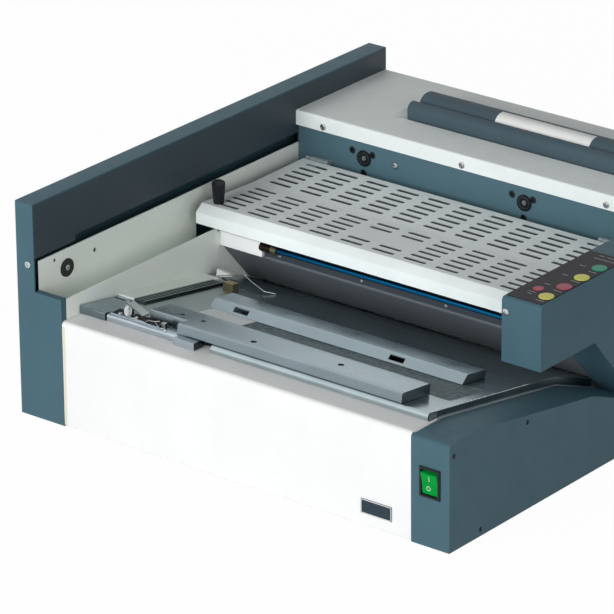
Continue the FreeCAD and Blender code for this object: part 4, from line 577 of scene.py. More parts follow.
# the caps' glow is painted light
YELLOW_CAP = MouldedPlastic("yellow_moulded_abs", "#C2C050", roughness=0.45, coat=0.15, glow=0.1)
RED_CAP = MouldedPlastic("red_moulded_abs", "#8C3448", roughness=0.5, coat=0.05, glow=0.1)
GREEN_CAP = MouldedPlastic("green_moulded_abs", "#0A785E", roughness=0.5, coat=0.05, glow=0.1)
GREEN_ROCKER = MouldedPlastic("green_translucent_polycarbonate", "#009038", roughness=0.35, shine=0.05)
SOLDER_MASK = MouldedPlastic("green_solder_mask", "#1E5A3A", roughness=0.3, coat=0.6)
# Films, inks, anodised metal, strip and glue: soft sheens and the two strong hues, blue and amber.
PANEL_FILM = OverlayFilm("charcoal_polyester_film", "#211F25")
GREY_INK = OverlayFilm("grey_screen_ink", "#A8A8AE")
WHITE_INK = OverlayFilm("white_screen_ink", "#E2E4E0")
WHITE_FILM = OverlayFilm("white_polyester_film", "#F2F4F2")
PLATE_ALLOY = AnodisedAluminium("black_anodised_plate", "#3C4A54", roughness=0.4)
# also the painted highlight on the right cover's edge
RIM_ALLOY = AnodisedAluminium("bare_satin_aluminium", "#D4D6D7", roughness=0.35)
BLUE_ROD = AnodisedAluminium("blue_anodised_aluminium", "#1678AC", roughness=0.32)
STRIP = GripStrip("cork_filled_rubber", "#27363B")
GLUE = HotMeltGlue("amber_hot_melt_glue", "#C98F3A")


# ---- mesh helpers
ROUND_EDGE = math.radians(35.0)     # flatter edges of a new piece look round
SHARP_EDGE = math.radians(32.0)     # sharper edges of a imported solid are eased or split
FLAT_EDGE = math.radians(0.4)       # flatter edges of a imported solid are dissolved
WELD = 0.002 * MM
ON_AXIS = 1e-6


def meshed(shape: Shape, name: str) -> bpy.types.Mesh:
    """Turn a drawn mesh into mesh data.

    Args:
        shape: the drawn mesh; it is freed.
        name: the data's name.

    Returns:
        The mesh data.
    """
    mesh = bpy.data.meshes.new(name)
    shape.to_mesh(mesh)
    shape.free()
    return mesh


def linked(name: str, data: bpy.types.ID) -> bpy.types.Object:
    """Put new data into the scene.

    Args:
        name: the object's name.
        data: mesh, curve, lamp or camera.

    Returns:
        The object that holds it.
    """
    made = bpy.data.objects.new(name, data)
    bpy.context.scene.collection.objects.link(made)
    return made


def shown(holder: bpy.types.Object) -> Shape:
    """Draw what an object shows.

    Args:
        holder: the object, in the scene.

    Returns:
        The mesh.
    """
    bpy.context.view_layer.update()
    mesh = bpy.data.meshes.new_from_object(holder.evaluated_get(bpy.context.evaluated_depsgraph_get()))
    shape = bmesh.new()
    shape.from_mesh(mesh)
    bpy.data.meshes.remove(mesh)
    return shape


def new_piece(name: str, shape: Shape, finish: Finish,
              body: str = "base") -> bpy.types.Object:
    """Turn a drawn mesh into a piece of the machine.

    Args:
        name: the piece's name.
        shape: the mesh in the frame's metres; it is freed.
        finish: the surface.
        body: the body that carries it.

    Returns:
        The object.
    """
    bmesh.ops.recalc_face_normals(shape, faces=shape.faces)
    mesh = meshed(shape, name)
    mesh.shade_smooth()
    mesh.set_sharp_from_angle(angle=ROUND_EDGE)
    mesh.materials.append(finish.material())
    piece = linked(name, mesh)
    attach(piece, body)
    LOG.info("%s: %d faces, rides on %s", name, len(mesh.polygons), body)
    return piece


def joined(parts: list[Shape]) -> Shape:
    """Make one mesh of several.

    Args:
        parts: the drawn meshes; they are freed.

    Returns:
        The whole.
    """
    whole = bmesh.new()
    for part in parts:
        holder = meshed(part, "holder")
        whole.from_mesh(holder)
        bpy.data.meshes.remove(holder)
    return whole


def placed(shape: Shape, matrix: Matrix) -> Shape:
    """A drawn mesh moved to its place."""
    bmesh.ops.transform(shape, matrix=matrix, verts=shape.verts)
    return shape


def revolved(profile: Sequence[Pair], turns: int) -> Shape:
    """Round piece from its half section.

    Args:
        profile: pairs of radius and height in millimetres; a closed ring if both ends are off the axis.
        turns: number of flats round the axis.

    Returns:
        The mesh, with its axis along local Z.
    """
    shape = bmesh.new()
    rings = []
    for radius, height in profile:
        around = [math.tau * k / turns for k in range(turns)] if radius > ON_AXIS else [0.0]
        rings.append([shape.verts.new((radius * MM * math.cos(a), radius * MM * math.sin(a), height * MM))
                      for a in around])
    closed = profile[0][0] > ON_AXIS and profile[-1][0] > ON_AXIS
    for low, high in zip(rings, rings[1:] + rings[:closed]):
        for k in range(turns):
            corners = [ring[i % len(ring)] for ring, i in ((low, k), (low, k + 1), (high, k + 1), (high, k))]
            unique = list(dict.fromkeys(corners))
            if len(unique) > 2:
                shape.faces.new(unique)
    return shape


def slab(outline: Sequence[Pair], low: float, high: float, edge: float = 0.0) -> Shape:
    """Flat plate from its outline, with eased edges.

    Args:
        outline: corners in millimetres.
        low: lower face along local Z in millimetres.
        high: upper face in millimetres.
        edge: width of the eased edges in millimetres.

    Returns:
        The mesh.
    """
    shape = bmesh.new()
    corners = [shape.verts.new((x * MM, y * MM, low * MM)) for x, y in outline]
    face = shape.faces.new(corners)
    grown = bmesh.ops.extrude_face_region(shape, geom=[face])
    raised = [item for item in grown["geom"] if isinstance(item, bmesh.types.BMVert)]
    bmesh.ops.translate(shape, vec=(0, 0, (high - low) * MM), verts=raised)
    if edge:
        bmesh.ops.bevel(shape, geom=list(shape.edges), offset=edge * MM, segments=2, profile=0.5,
                        affect="EDGES", clamp_overlap=True)
    return shape


def rectangle(x: Pair, y: Pair) -> list[Pair]:
    """Outline of a rectangle between two pairs of limits."""
    return [(x[0], y[0]), (x[1], y[0]), (x[1], y[1]), (x[0], y[1])]


def rod(radius: float, length: float, turns: int) -> Shape:
    """Plain cylinder along local Z from its origin, in millimetres."""
    return revolved([(0.0, 0.0), (radius, 0.0), (radius, length), (0.0, length)], turns)


def box(x: Pair, y: Pair, z: Pair, edge: float) -> Shape:
    """Block with eased edges between three pairs of limits in millimetres from the covers' corner."""
    return placed(slab(rectangle(x, y), *z, edge), Matrix.Translation(CORNER))


def rounded(x: Pair, y: Pair, radius: float) -> list[Pair]:
    """Outline of a rectangle with round corners.

    Args:
        x: limits across in millimetres.
        y: limits of the other side.
        radius: radius of the corners.

    Returns:
        The outline.
    """
    corners = ((x[1], y[1], -1, -1, 0), (x[0], y[1], 1, -1, 90),
               (x[0], y[0], 1, 1, 180), (x[1], y[0], -1, 1, 270))
    return [(px + dx * radius + u, py + dy * radius + v) for px, py, dx, dy, start in corners
            for u, v in arc_points(radius, start, start + 90, 5)]


def in_side_view(outline: Sequence[Pair], x: Pair) -> Shape:
    """Plate drawn in the side view, depth and height in millimetres, between two places across."""
    turn = Matrix(((0, 0, 1, 0), (1, 0, 0, 0), (0, 1, 0, 0), (0, 0, 0, 1)))
    return placed(placed(slab(outline, *x), turn), Matrix.Translation(CORNER))


def arc_points(radius: float, start: float, end: float, steps: int) -> list[Pair]:
    """Points on an arc about the origin, angles in degrees."""
    angles = [math.radians(start + (end - start) * k / steps) for k in range(steps + 1)]
    return [(radius * math.cos(angle), radius * math.sin(angle)) for angle in angles]


def wire(points: list[Vector], radius: float, smooth: bool = True) -> Shape:
    """Round wire through points.

    Args:
        points: the centre line in metres.
        radius: the wire's radius in millimetres.
        smooth: whether the wire bends gently or has tight corners.

    Returns:
        The mesh.
    """
    curve = settled(bpy.data.curves.new("wire", "CURVE"), dimensions="3D", bevel_depth=radius * MM,
                    bevel_resolution=3, use_fill_caps=True, resolution_u=8)
    spline = curve.splines.new("NURBS" if smooth else "POLY")
    spline.points.add(len(points) - 1)
    for control, point in zip(spline.points, points):
        control.co = (*point, 1.0)
    if smooth:
        settled(spline, order_u=3, use_endpoint_u=True)
    holder = linked("wire", curve)
    shape = shown(holder)
    bpy.data.objects.remove(holder)
    bpy.data.curves.remove(curve)
    return shape


def carved(shape: Shape, cutter: Shape) -> Shape:
    """Cut one mesh out of another.

    Args:
        shape: the mesh that is cut; it is freed.
        cutter: the mesh that is taken away; it is freed.

    Returns:
        What is left.
    """
    holders = []
    for part in (shape, cutter):
        bmesh.ops.recalc_face_normals(part, faces=part.faces)
        holders.append(linked("carving", meshed(part, "carving")))
    settled(holders[0].modifiers.new("cut", "BOOLEAN"), operation="DIFFERENCE", solver="EXACT",
            object=holders[1])
    result = shown(holders[0])
    for holder in holders:
        used = holder.data
        bpy.data.objects.remove(holder)
        bpy.data.meshes.remove(used)
    return result


def dress(node: str, finish: Finish, edge: float, segments: int) -> None:
    """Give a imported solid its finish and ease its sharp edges.

    Args:
        node: the solid's name.
        finish: the surface.
        edge: width of the eased edges in millimetres; none at zero.
        segments: steps across an eased edge.
    """
    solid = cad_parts[node]
    solid.data.materials.clear()
    solid.data.materials.append(finish.material())
    if "custom_normal" in solid.data.attributes:
        solid.data.attributes.remove(solid.data.attributes["custom_normal"])
    solid.data.polygons.foreach_set("use_smooth", [True] * len(solid.data.polygons))
    settled(solid.modifiers.new("weld", "WELD"), merge_threshold=WELD)
    settled(solid.modifiers.new("flat_faces", "DECIMATE"), decimate_type="DISSOLVE", angle_limit=FLAT_EDGE)
    if edge:
        settled(solid.modifiers.new("eased_edges", "BEVEL"), width=edge * MM, segments=segments,
                limit_method="ANGLE", angle_limit=SHARP_EDGE, use_clamp_overlap=True, harden_normals=True,
                miter_outer="MITER_ARC")
    else:
        settled(solid.modifiers.new("sharp_edges", "EDGE_SPLIT"), split_angle=SHARP_EDGE)
    LOG.info("%s: dressed in %s", node, finish.name)


# ---- fasteners
@dataclass
class PanScrew:
    """Pan-head screw with a cross recess, in millimetres; the dome is its half section in shares of these."""

    radius: float = 3.8
    height: float = 2.2
    recess: float = 0.55        # half width of the recess's wings
    reach: float = 0.62         # length of a wing, as a share of the radius
    floor: float = 0.35         # where the recess ends, as a share of the height
    dome: tuple = ((0.0, 0.0), (1.0, 0.0), (1.0, 0.35), (0.93, 0.66), (0.74, 0.88), (0.45, 0.98), (0.0, 1.0))

    def head(self) -> Shape:
        """Draw the head on a face at local Z zero.

        Returns:
            The mesh.
        """
        profile = [(self.radius * out, self.height * up) for out, up in self.dome]
        reach, wing = self.radius * self.reach, self.recess
        cross = [(wing, wing), (wing, reach), (-wing, reach), (-wing, wing), (-reach, wing), (-reach, -wing),
                 (-wing, -wing), (-wing, -reach), (wing, -reach), (wing, -wing), (reach, -wing),
                 (reach, wing)]
        return carved(revolved(profile, 32), slab(cross, self.height * self.floor, self.height + 1.0))

    def at(self, place: Vector, out: Facing, turn: float = 0.0) -> Shape:
        """The head standing on a face."""
        return placed(self.head(), facing_matrix(place, out, turn))


@dataclass
class SocketScrew:
    """Cap screw with a hexagon socket."""

    radius: float = 3.0
    height: float = 3.0
    key: float = 2.5
    rim: float = 0.3            # width of the eased edge
    floor: float = 0.4          # where the socket ends, as a share of the height

    def at(self, place: Vector, out: Facing) -> Shape:
        """Draw the head where it stands on a face.

        Args:
            place: the foot of its axis in metres.
            out: the direction that the face looks.

        Returns:
            The mesh.
        """
        profile = [(0.0, 0.0), (self.radius, 0.0), (self.radius, self.height - self.rim),
                   (self.radius - self.rim, self.height), (0.0, self.height)]
        hexagon = arc_points(self.key / math.sqrt(3), 0, 300, 5)
        head = carved(revolved(profile, 28), slab(hexagon, self.height * self.floor, self.height + 1.0))
        return placed(head, facing_matrix(place, out))


# ---- sub-assemblies
@dataclass(frozen=True)
class Coat:
    """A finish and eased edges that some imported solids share."""

    finish: Finish
    edge: float                 # mm; none at zero
    nodes: str                  # the solids' names, with spaces between
    segments: int = 2           # steps across an eased edge


Coats = ClassVar[tuple[Coat, ...]]


class SubAssembly:
    """Part of the machine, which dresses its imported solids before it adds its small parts."""

    coats: Coats = ()

    def build(self) -> None:
        """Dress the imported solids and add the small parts."""
        for coat in self.coats:
            for node in coat.nodes.split():
                dress(node, coat.finish, coat.edge, coat.segments)
        self.small_parts()

    def small_parts(self) -> None:
        """Add the pieces that aren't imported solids; here there are none."""


@dataclass
class Covers(SubAssembly):
    """Painted covers, floor pan and feet."""

    coats: Coats = (
        Coat(BLUE_GREY_COAT, 0.6, "left_side_cover right_side_cover control_housing"),
        Coat(LIGHTENED_WALL_COAT, 0.4, "clamp_front_wall"),
        Coat(BLUE_GREY_COAT, 0.0, "rear_panel"),
        Coat(BLUE_GREY_COAT, 0.25, "right_inner_panel"),
        Coat(WHITE_COAT, 0.4, "front_panel"),
        Coat(INNER_COAT, 0.3, "left_inner_panel"),
        Coat(LINER_COAT, 0.3, "left_liner"),
        Coat(BEIGE_COAT, 0.3, "lid"),
        Coat(WHITE_COAT, 0.3, "base_pan"),
        Coat(BLACK_RUBBER, 0.8, "rubber_feet"),
        Coat(BLACK_RUBBER, 0.3, "liner_bumper"),
        Coat(BLACK_OXIDE, 0.2, "black_screws"),
    )
    strip_x: tuple = (60.6, 64.2)
    strip_y: tuple = (-0.08, 0.0)
    strip_z: tuple = (2.0, 113.0)
    # bright strip on the right cover's top edge, a painted highlight
    highlight_x: tuple = (512.75, 514.5)
    highlight_half: float = 0.6
    cover_edge: tuple = ((4.5, 116.5), (50.0, 116.5), (241.0, 84.0), (318.0, 53.9))
    pan_screws: tuple = ((20.0, 120.0), (20.0, 480.0), (540.0, 120.0), (540.0, 480.0), (280.0, 20.0),
                         (280.0, 575.0))
    rear_screws: tuple = ((36.0, 200.0), (36.0, 110.0), (36.0, 14.0), (500.0, 200.0), (500.0, 110.0),
                          (500.0, 14.0), (268.0, 14.0))
    rear_face: float = 593.0

    def end_strip_and_edge_highlight(self) -> None:
        """Cream strip at the front panel's left end, and a bright strip along the right cover's top edge as a
        painted highlight.
        """
        strip = box(self.strip_x, self.strip_y, self.strip_z, 0.0)
        new_piece("panel_end_strip", strip, CREAM_ENAMEL)
        low = [(y, z - self.highlight_half) for y, z in self.cover_edge]
        high = [(y, z + self.highlight_half) for y, z in reversed(self.cover_edge)]
        edge = in_side_view(low + high, self.highlight_x)
        new_piece("painted_cover_edge_highlight", edge, RIM_ALLOY)

    def small_screws(self) -> None:
        """Black pan-head screws that hold the rear panel and the floor pan."""
        screw = PanScrew(2.9, 1.6, 0.45)
        parts = [screw.at(at(x, self.rear_face, z), Facing.BACK, 20 * index)
                 for index, (x, z) in enumerate(self.rear_screws)]
        parts += [screw.at(at(x, y, 0.0), Facing.DOWN, 25 * index)
                  for index, (x, y) in enumerate(self.pan_screws)]
        new_piece("rear_and_pan_screws", joined(parts), BLACK_OXIDE)

    def small_parts(self) -> None:
        """End strip, painted edge highlight and the screws that aren't packed."""
        self.end_strip_and_edge_highlight()
        self.small_screws()


@dataclass
class Fasteners(SubAssembly):
    """Bright screws on the front faces."""

    cover_screw: tuple = (16.3, 0.0, 171.1)
    housing_screw: tuple = (517.0, 150.0, 196.4)
    wall_screw: tuple = (157.4, 438.0, 177.2)
    wall_bolt: tuple = (22.5, 51.0, 153.0)
    lip_screws: tuple = (62.3, 250.45, 438.6)
    lip_place: tuple = (433.3, 201.7)           # depth and height
    beam_screws: tuple = (138.4, 248.6, 358.8, 469.0)
    beam_place: tuple = (262.0, 124.6)

    def small_parts(self) -> None:
        """One piece with every bright head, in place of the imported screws."""
        large, flat, small = PanScrew(), PanScrew(3.8, 1.9), PanScrew(2.2, 1.6, 0.4)
        parts = [flat.at(at(*self.cover_screw), Facing.FRONT, 30),
                 large.at(at(*self.housing_screw), Facing.FRONT, 10),
                 large.at(at(*self.wall_screw), Facing.FRONT, 50)]
        parts += [large.at(at(x, *self.lip_place), Facing.FRONT, 15 + 25 * index)
                  for index, x in enumerate(self.lip_screws)]
        parts += [small.at(at(x, *self.beam_place), Facing.FRONT, 40 * index)
                  for index, x in enumerate(self.beam_screws)]
        parts.append(SocketScrew(3.1, 3.4, 2.5).at(at(*self.wall_bolt), Facing.RIGHT))
        screws = new_piece("bright_screws", joined(parts), BRIGHT_ZINC)
        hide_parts("silver_screws")


@dataclass
class Controls(SubAssembly):
    """Power switch, nameplate and control panel."""

    coats: Coats = (
        Coat(PANEL_FILM, 0.15, "control_panel"),
        Coat(SOLDER_MASK, 0.2, "control_board"),
        Coat(YELLOW_CAP, 0.2, "button_front_yellow button_yellow"),
        Coat(RED_CAP, 0.2, "button_small_red button_red"),
        Coat(GREEN_CAP, 0.2, "button_green"),
        Coat(BLACK_NYLON, 0.3, "rocker_bezel"),
        Coat(GREEN_ROCKER, 0.4, "rocker"),
        Coat(PLATE_ALLOY, 0.15, "nameplate"),
    )
    top: float = 212.6
    button_x: float = 548.0
    first_y: float = 175.2
    pitch: float = 30.3
    small_button: tuple = (530.3, 186.5)
    long_line: tuple = (-4.5, 5.8, -12.4)       # left end, right end and depth from a button's centre
    short_line: tuple = (-21.2, -14.2, -4.0)
    small_lines: tuple = ((-5.2, 4.0, -9.6), (-3.0, 2.5, -14.6))
    rear_lines: tuple = ((-21.0, 4.0, 20.0), (-19.7, -14.0, 28.0), (-10.0, -2.0, 27.6))
    line_half: float = 0.5
    ink: float = 0.04
    switch_x: float = 536.4
    switch_z: float = 70.0
    pivot_y: float = 8.0
    tilt: float = 8.0
    face: float = 1.4           # rocker's face before the panel
    hollow: float = 0.5         # depth of the hollow in that face
    hollow_radius: float = 60.0
    bar: tuple = (-0.3, 0.3)
    bar_start: float = 3.2
    bar_step: float = 0.6       # the bar is cut across so that it follows the hollow
    mark_depth: tuple = (-0.3, 0.1)
    loop: tuple = ((1.9, -0.3), (2.4, -0.3), (2.4, 0.1), (1.9, 0.1))
    loop_place: tuple = (-1.8, -5.0, 0.0)
    plate_x: tuple = (450.4, 489.2)
    plate_z: tuple = (14.0, 30.2)

    def overlay_print(self) -> None:
        """Short grey lines printed beside the buttons and across the film's rear end."""
        buttons = [(self.button_x, self.first_y + self.pitch * index) for index in range(4)]
        printed = [(buttons[0], (self.long_line,))]
        printed += [(button, (self.long_line, self.short_line)) for button in buttons[1:]]
        printed += [(self.small_button, self.small_lines), (buttons[3], self.rear_lines)]
        parts = [box((x + left, x + right), (y + away - self.line_half, y + away + self.line_half),
                     (self.top, self.top + self.ink), 0.0)
                 for (x, y), lines in printed for left, right, away in lines]
        new_piece("panel_print", joined(parts), GREY_INK)

    def rocker_marks(self) -> None:
        """Moulded on and off marks of the rocker."""
        tilted = (Matrix.Translation(at(self.switch_x, self.pivot_y, self.switch_z))
                  @ Matrix.Rotation(math.radians(self.tilt), 4, "X"))
        steps = [self.bar_start + self.bar_step * k for k in range(11)]
        parts = [slab(rectangle(self.bar, limits), *self.mark_depth) for limits in zip(steps, steps[1:])]
        loop = placed(revolved(self.loop, 32), Matrix.Translation(Vector(self.loop_place) * MM))
        marks = joined(parts + [loop])
        for vert in marks.verts:
            hollow = max(0.0, self.hollow - (vert.co.y / MM) ** 2 / (2 * self.hollow_radius))
            vert.co.z += (self.pivot_y + self.face - hollow) * MM
        marks = placed(placed(marks, facing_matrix(Vector(), Facing.FRONT)), tilted)
        new_piece("rocker_marks", marks, WHITE_INK, "power_rocker")

    def nameplate_rim(self) -> None:
        """Bare metal line round the blank plate."""
        x, z = self.plate_x, self.plate_z
        thick, width, radius = 0.8, 1.2, 2.2
        rings = [rounded((x[0] + inset, x[1] - inset), (z[0] + inset, z[1] - inset), radius - inset)
                 for inset in (0.15, 0.15 + width)]
        rim = carved(slab(rings[0], thick - 0.1, thick + 0.1), slab(rings[1], thick - 1.0, thick + 1.0))
        rim = placed(rim, facing_matrix(CORNER, Facing.FRONT))
        new_piece("nameplate_rim", rim, RIM_ALLOY)

    def small_parts(self) -> None:
        """Prints, marks and the plate's rim."""
        self.overlay_print()
        self.rocker_marks()
        self.nameplate_rim()


@dataclass
class Clamp(SubAssembly):
    """Lid, jaws, adjusters and actuators."""

    coats: Coats = (
        Coat(JAW_COAT, 2.0, "front_jaw rear_jaw", 4),
        Coat(BLACK_NYLON, 0.2, "adjuster_bushes"),
        Coat(GROUND_STEEL, 0.4, "clamp_actuators"),
        Coat(TURNED_STEEL, 0.3, "actuator_rods guide_rods"),
    )
    adjusters: tuple = (115.0, 329.7)
    height: float = 176.0
    wall_front: float = 438.0
    proud: float = 1.5          # how far the bushes stand before the wall
    ring_sunk: float = 0.8      # behind the bush's face
    centre_sunk: float = 1.0
    small: tuple = ((-16.3, 6.0), (11.2, 6.0), (-1.0, -17.5))
    ring: tuple = ((5.7, 0.0), (7.3, 0.0), (7.3, 0.75), (7.0, 0.95), (6.0, 0.95), (5.7, 0.75))
    centre: tuple = ((0.0, 0.0), (3.0, 0.0), (3.0, 0.5), (2.7, 0.8), (0.0, 0.8))
    slot: tuple = ((-4.0, 4.0), (-0.4, 0.4))
    eyelet: tuple = ((2.4, 0.0), (3.3, 0.0), (3.3, 0.12), (3.0, 0.25), (2.4, 0.2))
    label_x: tuple = (242.0, 366.0)
    label_arc: tuple = (150.0, 90.0)
    label_flat: float = 3.0
    label_gaps: tuple = (0.01, 0.12)            # under and over the label
    jaw_x: tuple = (136.0, 470.0)
    # black strip in the gap before the front jaw, a painted shadow
    slot_shadow_y: tuple = (483.3, 486.9)
    slot_shadow_z: tuple = (207.0, 211.8)
    jaw_front: float = 501.5
    jaw_top: float = 234.8
    jaw_round: float = 14.0

    def adjuster_rings(self) -> None:
        """Dark ring and slotted centre screw of each large adjuster, and a ring round each small one."""
        rings, screws = [], []
        face = self.wall_front - self.proud
        for x in self.adjusters:
            place = facing_matrix(at(x, face + self.ring_sunk, self.height), Facing.FRONT)
            rings.append(placed(revolved(self.ring, 40), place))
            head = carved(revolved(self.centre, 28), slab(rectangle(*self.slot), 0.3, 2.0))
            place = facing_matrix(at(x, face + self.centre_sunk, self.height), Facing.FRONT, 35)
            screws.append(placed(head, place))
            for dx, dz in self.small:
                place = facing_matrix(at(x + dx, self.wall_front, self.height + dz), Facing.FRONT)
                rings.append(placed(revolved(self.eyelet, 24), place))
        new_piece("adjuster_rings", joined(rings), DARK_STEEL)
        new_piece("adjuster_screws", joined(screws), GROUND_STEEL)

    def jaw_label(self) -> None:
        """Blank white strip round the front edge of the rear jaw."""
        radius = self.jaw_round
        centre = (self.jaw_front + radius, self.jaw_top - radius)
        near, far = (radius + gap for gap in self.label_gaps)
        outer = arc_points(far, *self.label_arc, 16) + [(self.label_flat, far)]
        inner = [(self.label_flat, near)] + arc_points(near, *reversed(self.label_arc), 16)
        outline = [(centre[0] + u, centre[1] + v) for u, v in outer + inner]
        label = in_side_view(outline, self.label_x)
        new_piece("jaw_label_blank", label, WHITE_FILM, "clamp_rear_jaw")

    def painted_slot_shadow(self) -> None:
        """Black strip between the lid's slot and the front jaw, a painted shadow where that gap's shade
        falls.
        """
        new_piece("painted_slot_shadow", box(self.jaw_x, self.slot_shadow_y, self.slot_shadow_z, 0.3), BLACK_RUBBER)

    def small_parts(self) -> None:
        """Rings, blank label and the painted slot shadow."""
        self.adjuster_rings()
        self.jaw_label()
        self.painted_slot_shadow()


@dataclass
class Guard(SubAssembly):
    """Hinged guard with its knob, hinges and a black sheet of painted shade under its slots."""

    coats: Coats = (
        Coat(GUARD_COAT, 0.0, "guard_cover"),
        Coat(BLACK_NYLON, 0.3, "guard_knob"),
        Coat(HINGE_COAT, 0.15, "guard_hinge_leaves hinge_pins"),
    )
    left: float = 45.0
    right: float = 468.0
    # side view of the black sheet of painted shade
    shade_sheet: tuple = ((253.5, 164.75), (337.0, 161.15), (407.0, 161.7))    # upper face, front to back
    shade_sheet_thick: float = 1.2

    def small_parts(self) -> None:
        """Black sheet under the slotted top, painted shade where the slots show the machine's dark inside."""
        under = [(y, z - self.shade_sheet_thick) for y, z in reversed(self.shade_sheet)]
        shade_sheet = in_side_view(list(self.shade_sheet) + under, (self.left, self.right))
        new_piece("painted_shade_under_guard", shade_sheet, SHADE_SHEET, "guard")


@dataclass
class CoverStation(SubAssembly):
    """Sloping cover table with its plates, side lay and small spring parts."""

    coats: Coats = (
        Coat(POLISHED_STEEL, 0.25, "cover_table"),
        Coat(STRIP, 0.2, "spine_strip"),
        Coat(PLATE_STEEL, 0.4, "table_end_block"),
        Coat(OILED_STEEL, 0.5, "table_rail"),
        Coat(PLATE_STEEL, 0.25, "nip_plate_front nip_plate_rear"),
        Coat(LAY_STEEL, 0.35, "side_lay_bar"),
        Coat(LEVER_STEEL, 0.3, "lay_lever"),
        Coat(WHITE_ACETAL, 0.4, "feed_block"),
        Coat(BRIGHT_ZINC, 0.0, "hold_down_wire"),
    )
    edge_y: float = 31.0        # front edge of the table's slope
    edge_z: float = 127.8
    slope: float = 9.37
    lay_top: float = 127.1
    lay_plate: float = 1.6
    beads_s: tuple = (6.0, 44.0)                # down the slope, on the front nipping plate
    bead_x: tuple = (192.0, 240.0, 330.0, 420.0, 474.0)
    bead_radius: float = 0.35
    plate_low: float = 10.5
    plate_rise: float = 2.3
    plate_depth: float = 46.5
    strip_x: tuple = (150.0, 208.0)
    strip_s: tuple = (50.0, 108.0)
    pad_z: tuple = (-0.1, 0.15)
    cap_x: tuple = (510.5, 512.4)
    # bright wire along the table's right edge, a painted highlight
    edge_highlight_x: float = 511.9
    edge_highlight_s: tuple = (2.0, 60.0, 120.0, 168.0)
    # black sheet of painted shade over the lay plate, x and y limits
    recess: tuple = ((101.8, 163.4), (31.4, 44.2))
    opening: tuple = (119.0, 40.0)
    lay_screws: tuple = ((111.0, 33.9, 10), (131.1, 34.8, 35))      # place and turn in degrees
    spring_post: tuple = (175.1, 29.4)
    nut: tuple = ((0.0, 0.0), (5.9, 0.6), (6.2, 1.0), (5.7, 1.4), (2.1, 0.8), (2.0, 1.8), (0.0, 1.8))
    nut_place: tuple = (122.4, 34.0, 134.9)
    nut_out: tuple = (-0.2, -0.93, 0.3)
    stop_block: tuple = ((164.5, 170.0), (35.0, 39.4), (126.1, 132.3))
    zigzag: tuple = ((111.0, 33.0, 2.2), (121.5, 28.8, 1.3), (122.6, 31.3, 1.3), (129.7, 30.7, 1.3),
                     (147.7, 29.6, 1.3), (146.6, 35.7, 1.3), (154.3, 37.2, 1.3), (168.6, 27.8, 1.0),
                     (174.6, 29.4, 0.8))
    branch: tuple = ((153.6, 37.0, 1.3), (157.8, 41.2, 1.3))
    hem: tuple = ((28.2, 121.0), (28.2, 125.6), (31.5, 127.2), (42.4, 125.4), (42.4, 119.8), (30.0, 119.8))

    def on_table(self, x: float, s: float, h: float) -> Vector:
        """Find a point on the table.

        Args:
            x: distance to the right in millimetres.
            s: distance down the slope.
            h: height over the table.

        Returns:
            The point in metres.
        """
        angle = math.radians(self.slope)
        y = self.edge_y + s * math.cos(angle) + h * math.sin(angle)
        z = self.edge_z - s * math.sin(angle) + h * math.cos(angle)
        return at(x, y, z)

    def plate_ridges(self) -> None:
        """Long beads pressed into the front nipping plate."""
        parts = []
        for s in self.beads_s:
            height = self.plate_low + self.plate_rise * (s - 1.5) / self.plate_depth
            parts.append(wire([self.on_table(x, s, height - 0.1) for x in self.bead_x], self.bead_radius))
        new_piece("nip_plate_beads", joined(parts), PLATE_STEEL, "front_nip")

    def table_pads(self) -> None:
        """Cream pad on the left end of the grip strip, lightened as painted light against the plate's shadow;
        the cap that closes the hem's right end; a bright wire along the table's right edge as a painted
        highlight.
        """
        turned = Matrix.Rotation(-math.radians(self.slope), 4, "X")
        laid = Matrix.Translation(at(0, self.edge_y, self.edge_z)) @ turned
        pad = slab(rectangle(self.strip_x, self.strip_s), *self.pad_z)
        new_piece("strip_pad", placed(pad, laid), PAD_FOIL)
        new_piece("hem_cap", in_side_view(self.hem, self.cap_x), GROUND_STEEL)
        line = [self.on_table(self.edge_highlight_x, s, 0.0) for s in self.edge_highlight_s]
        new_piece("painted_table_edge_highlight", wire(line, 0.5, False), BRIGHT_ZINC)

    def lay_fittings(self) -> None:
        """Black sheet as painted shade of the recess behind the lay bar's lip, screws, wing nut, stop block
        and zigzag return spring on the side lay.
        """
        top = self.lay_top + self.lay_plate
        opening = placed(rod(5.6, 6.0, 32), Matrix.Translation(Vector((*self.opening, -3.0)) * MM))
        # black sheet on the lay plate as painted shade, holed at the opening
        recess = carved(slab(rectangle(*self.recess), 0.0, 0.25), opening)
        recess = placed(recess, Matrix.Translation(at(0, 0, top)))
        new_piece("painted_lay_shade", recess, BLACK_OXIDE, "side_lay")
        screw = PanScrew(2.4, 1.9, 0.4)
        parts = [screw.at(at(x, y, top), Facing.UP, turn) for x, y, turn in self.lay_screws]
        parts.append(PanScrew(1.8, 2.4, 0.35).at(at(*self.spring_post, self.lay_top), Facing.UP, 20))
        place = facing_matrix(at(*self.nut_place), Vector(self.nut_out))
        parts.append(placed(revolved(self.nut, 28), place))
        new_piece("lay_fittings", joined(parts), BRIGHT_ZINC, "side_lay")
        new_piece("lay_stop_block", box(*self.stop_block, 0.5), LEVER_STEEL, "side_lay")
        wires = [wire([at(x, y, top + h) for x, y, h in line], 0.5, False)
                 for line in (self.zigzag, self.branch)]
        new_piece("lay_spring", joined(wires), BRIGHT_ZINC, "side_lay")

    def small_parts(self) -> None:
        """Beads, pads and what sits on the side lay."""
        self.plate_ridges()
        self.table_pads()
        self.lay_fittings()


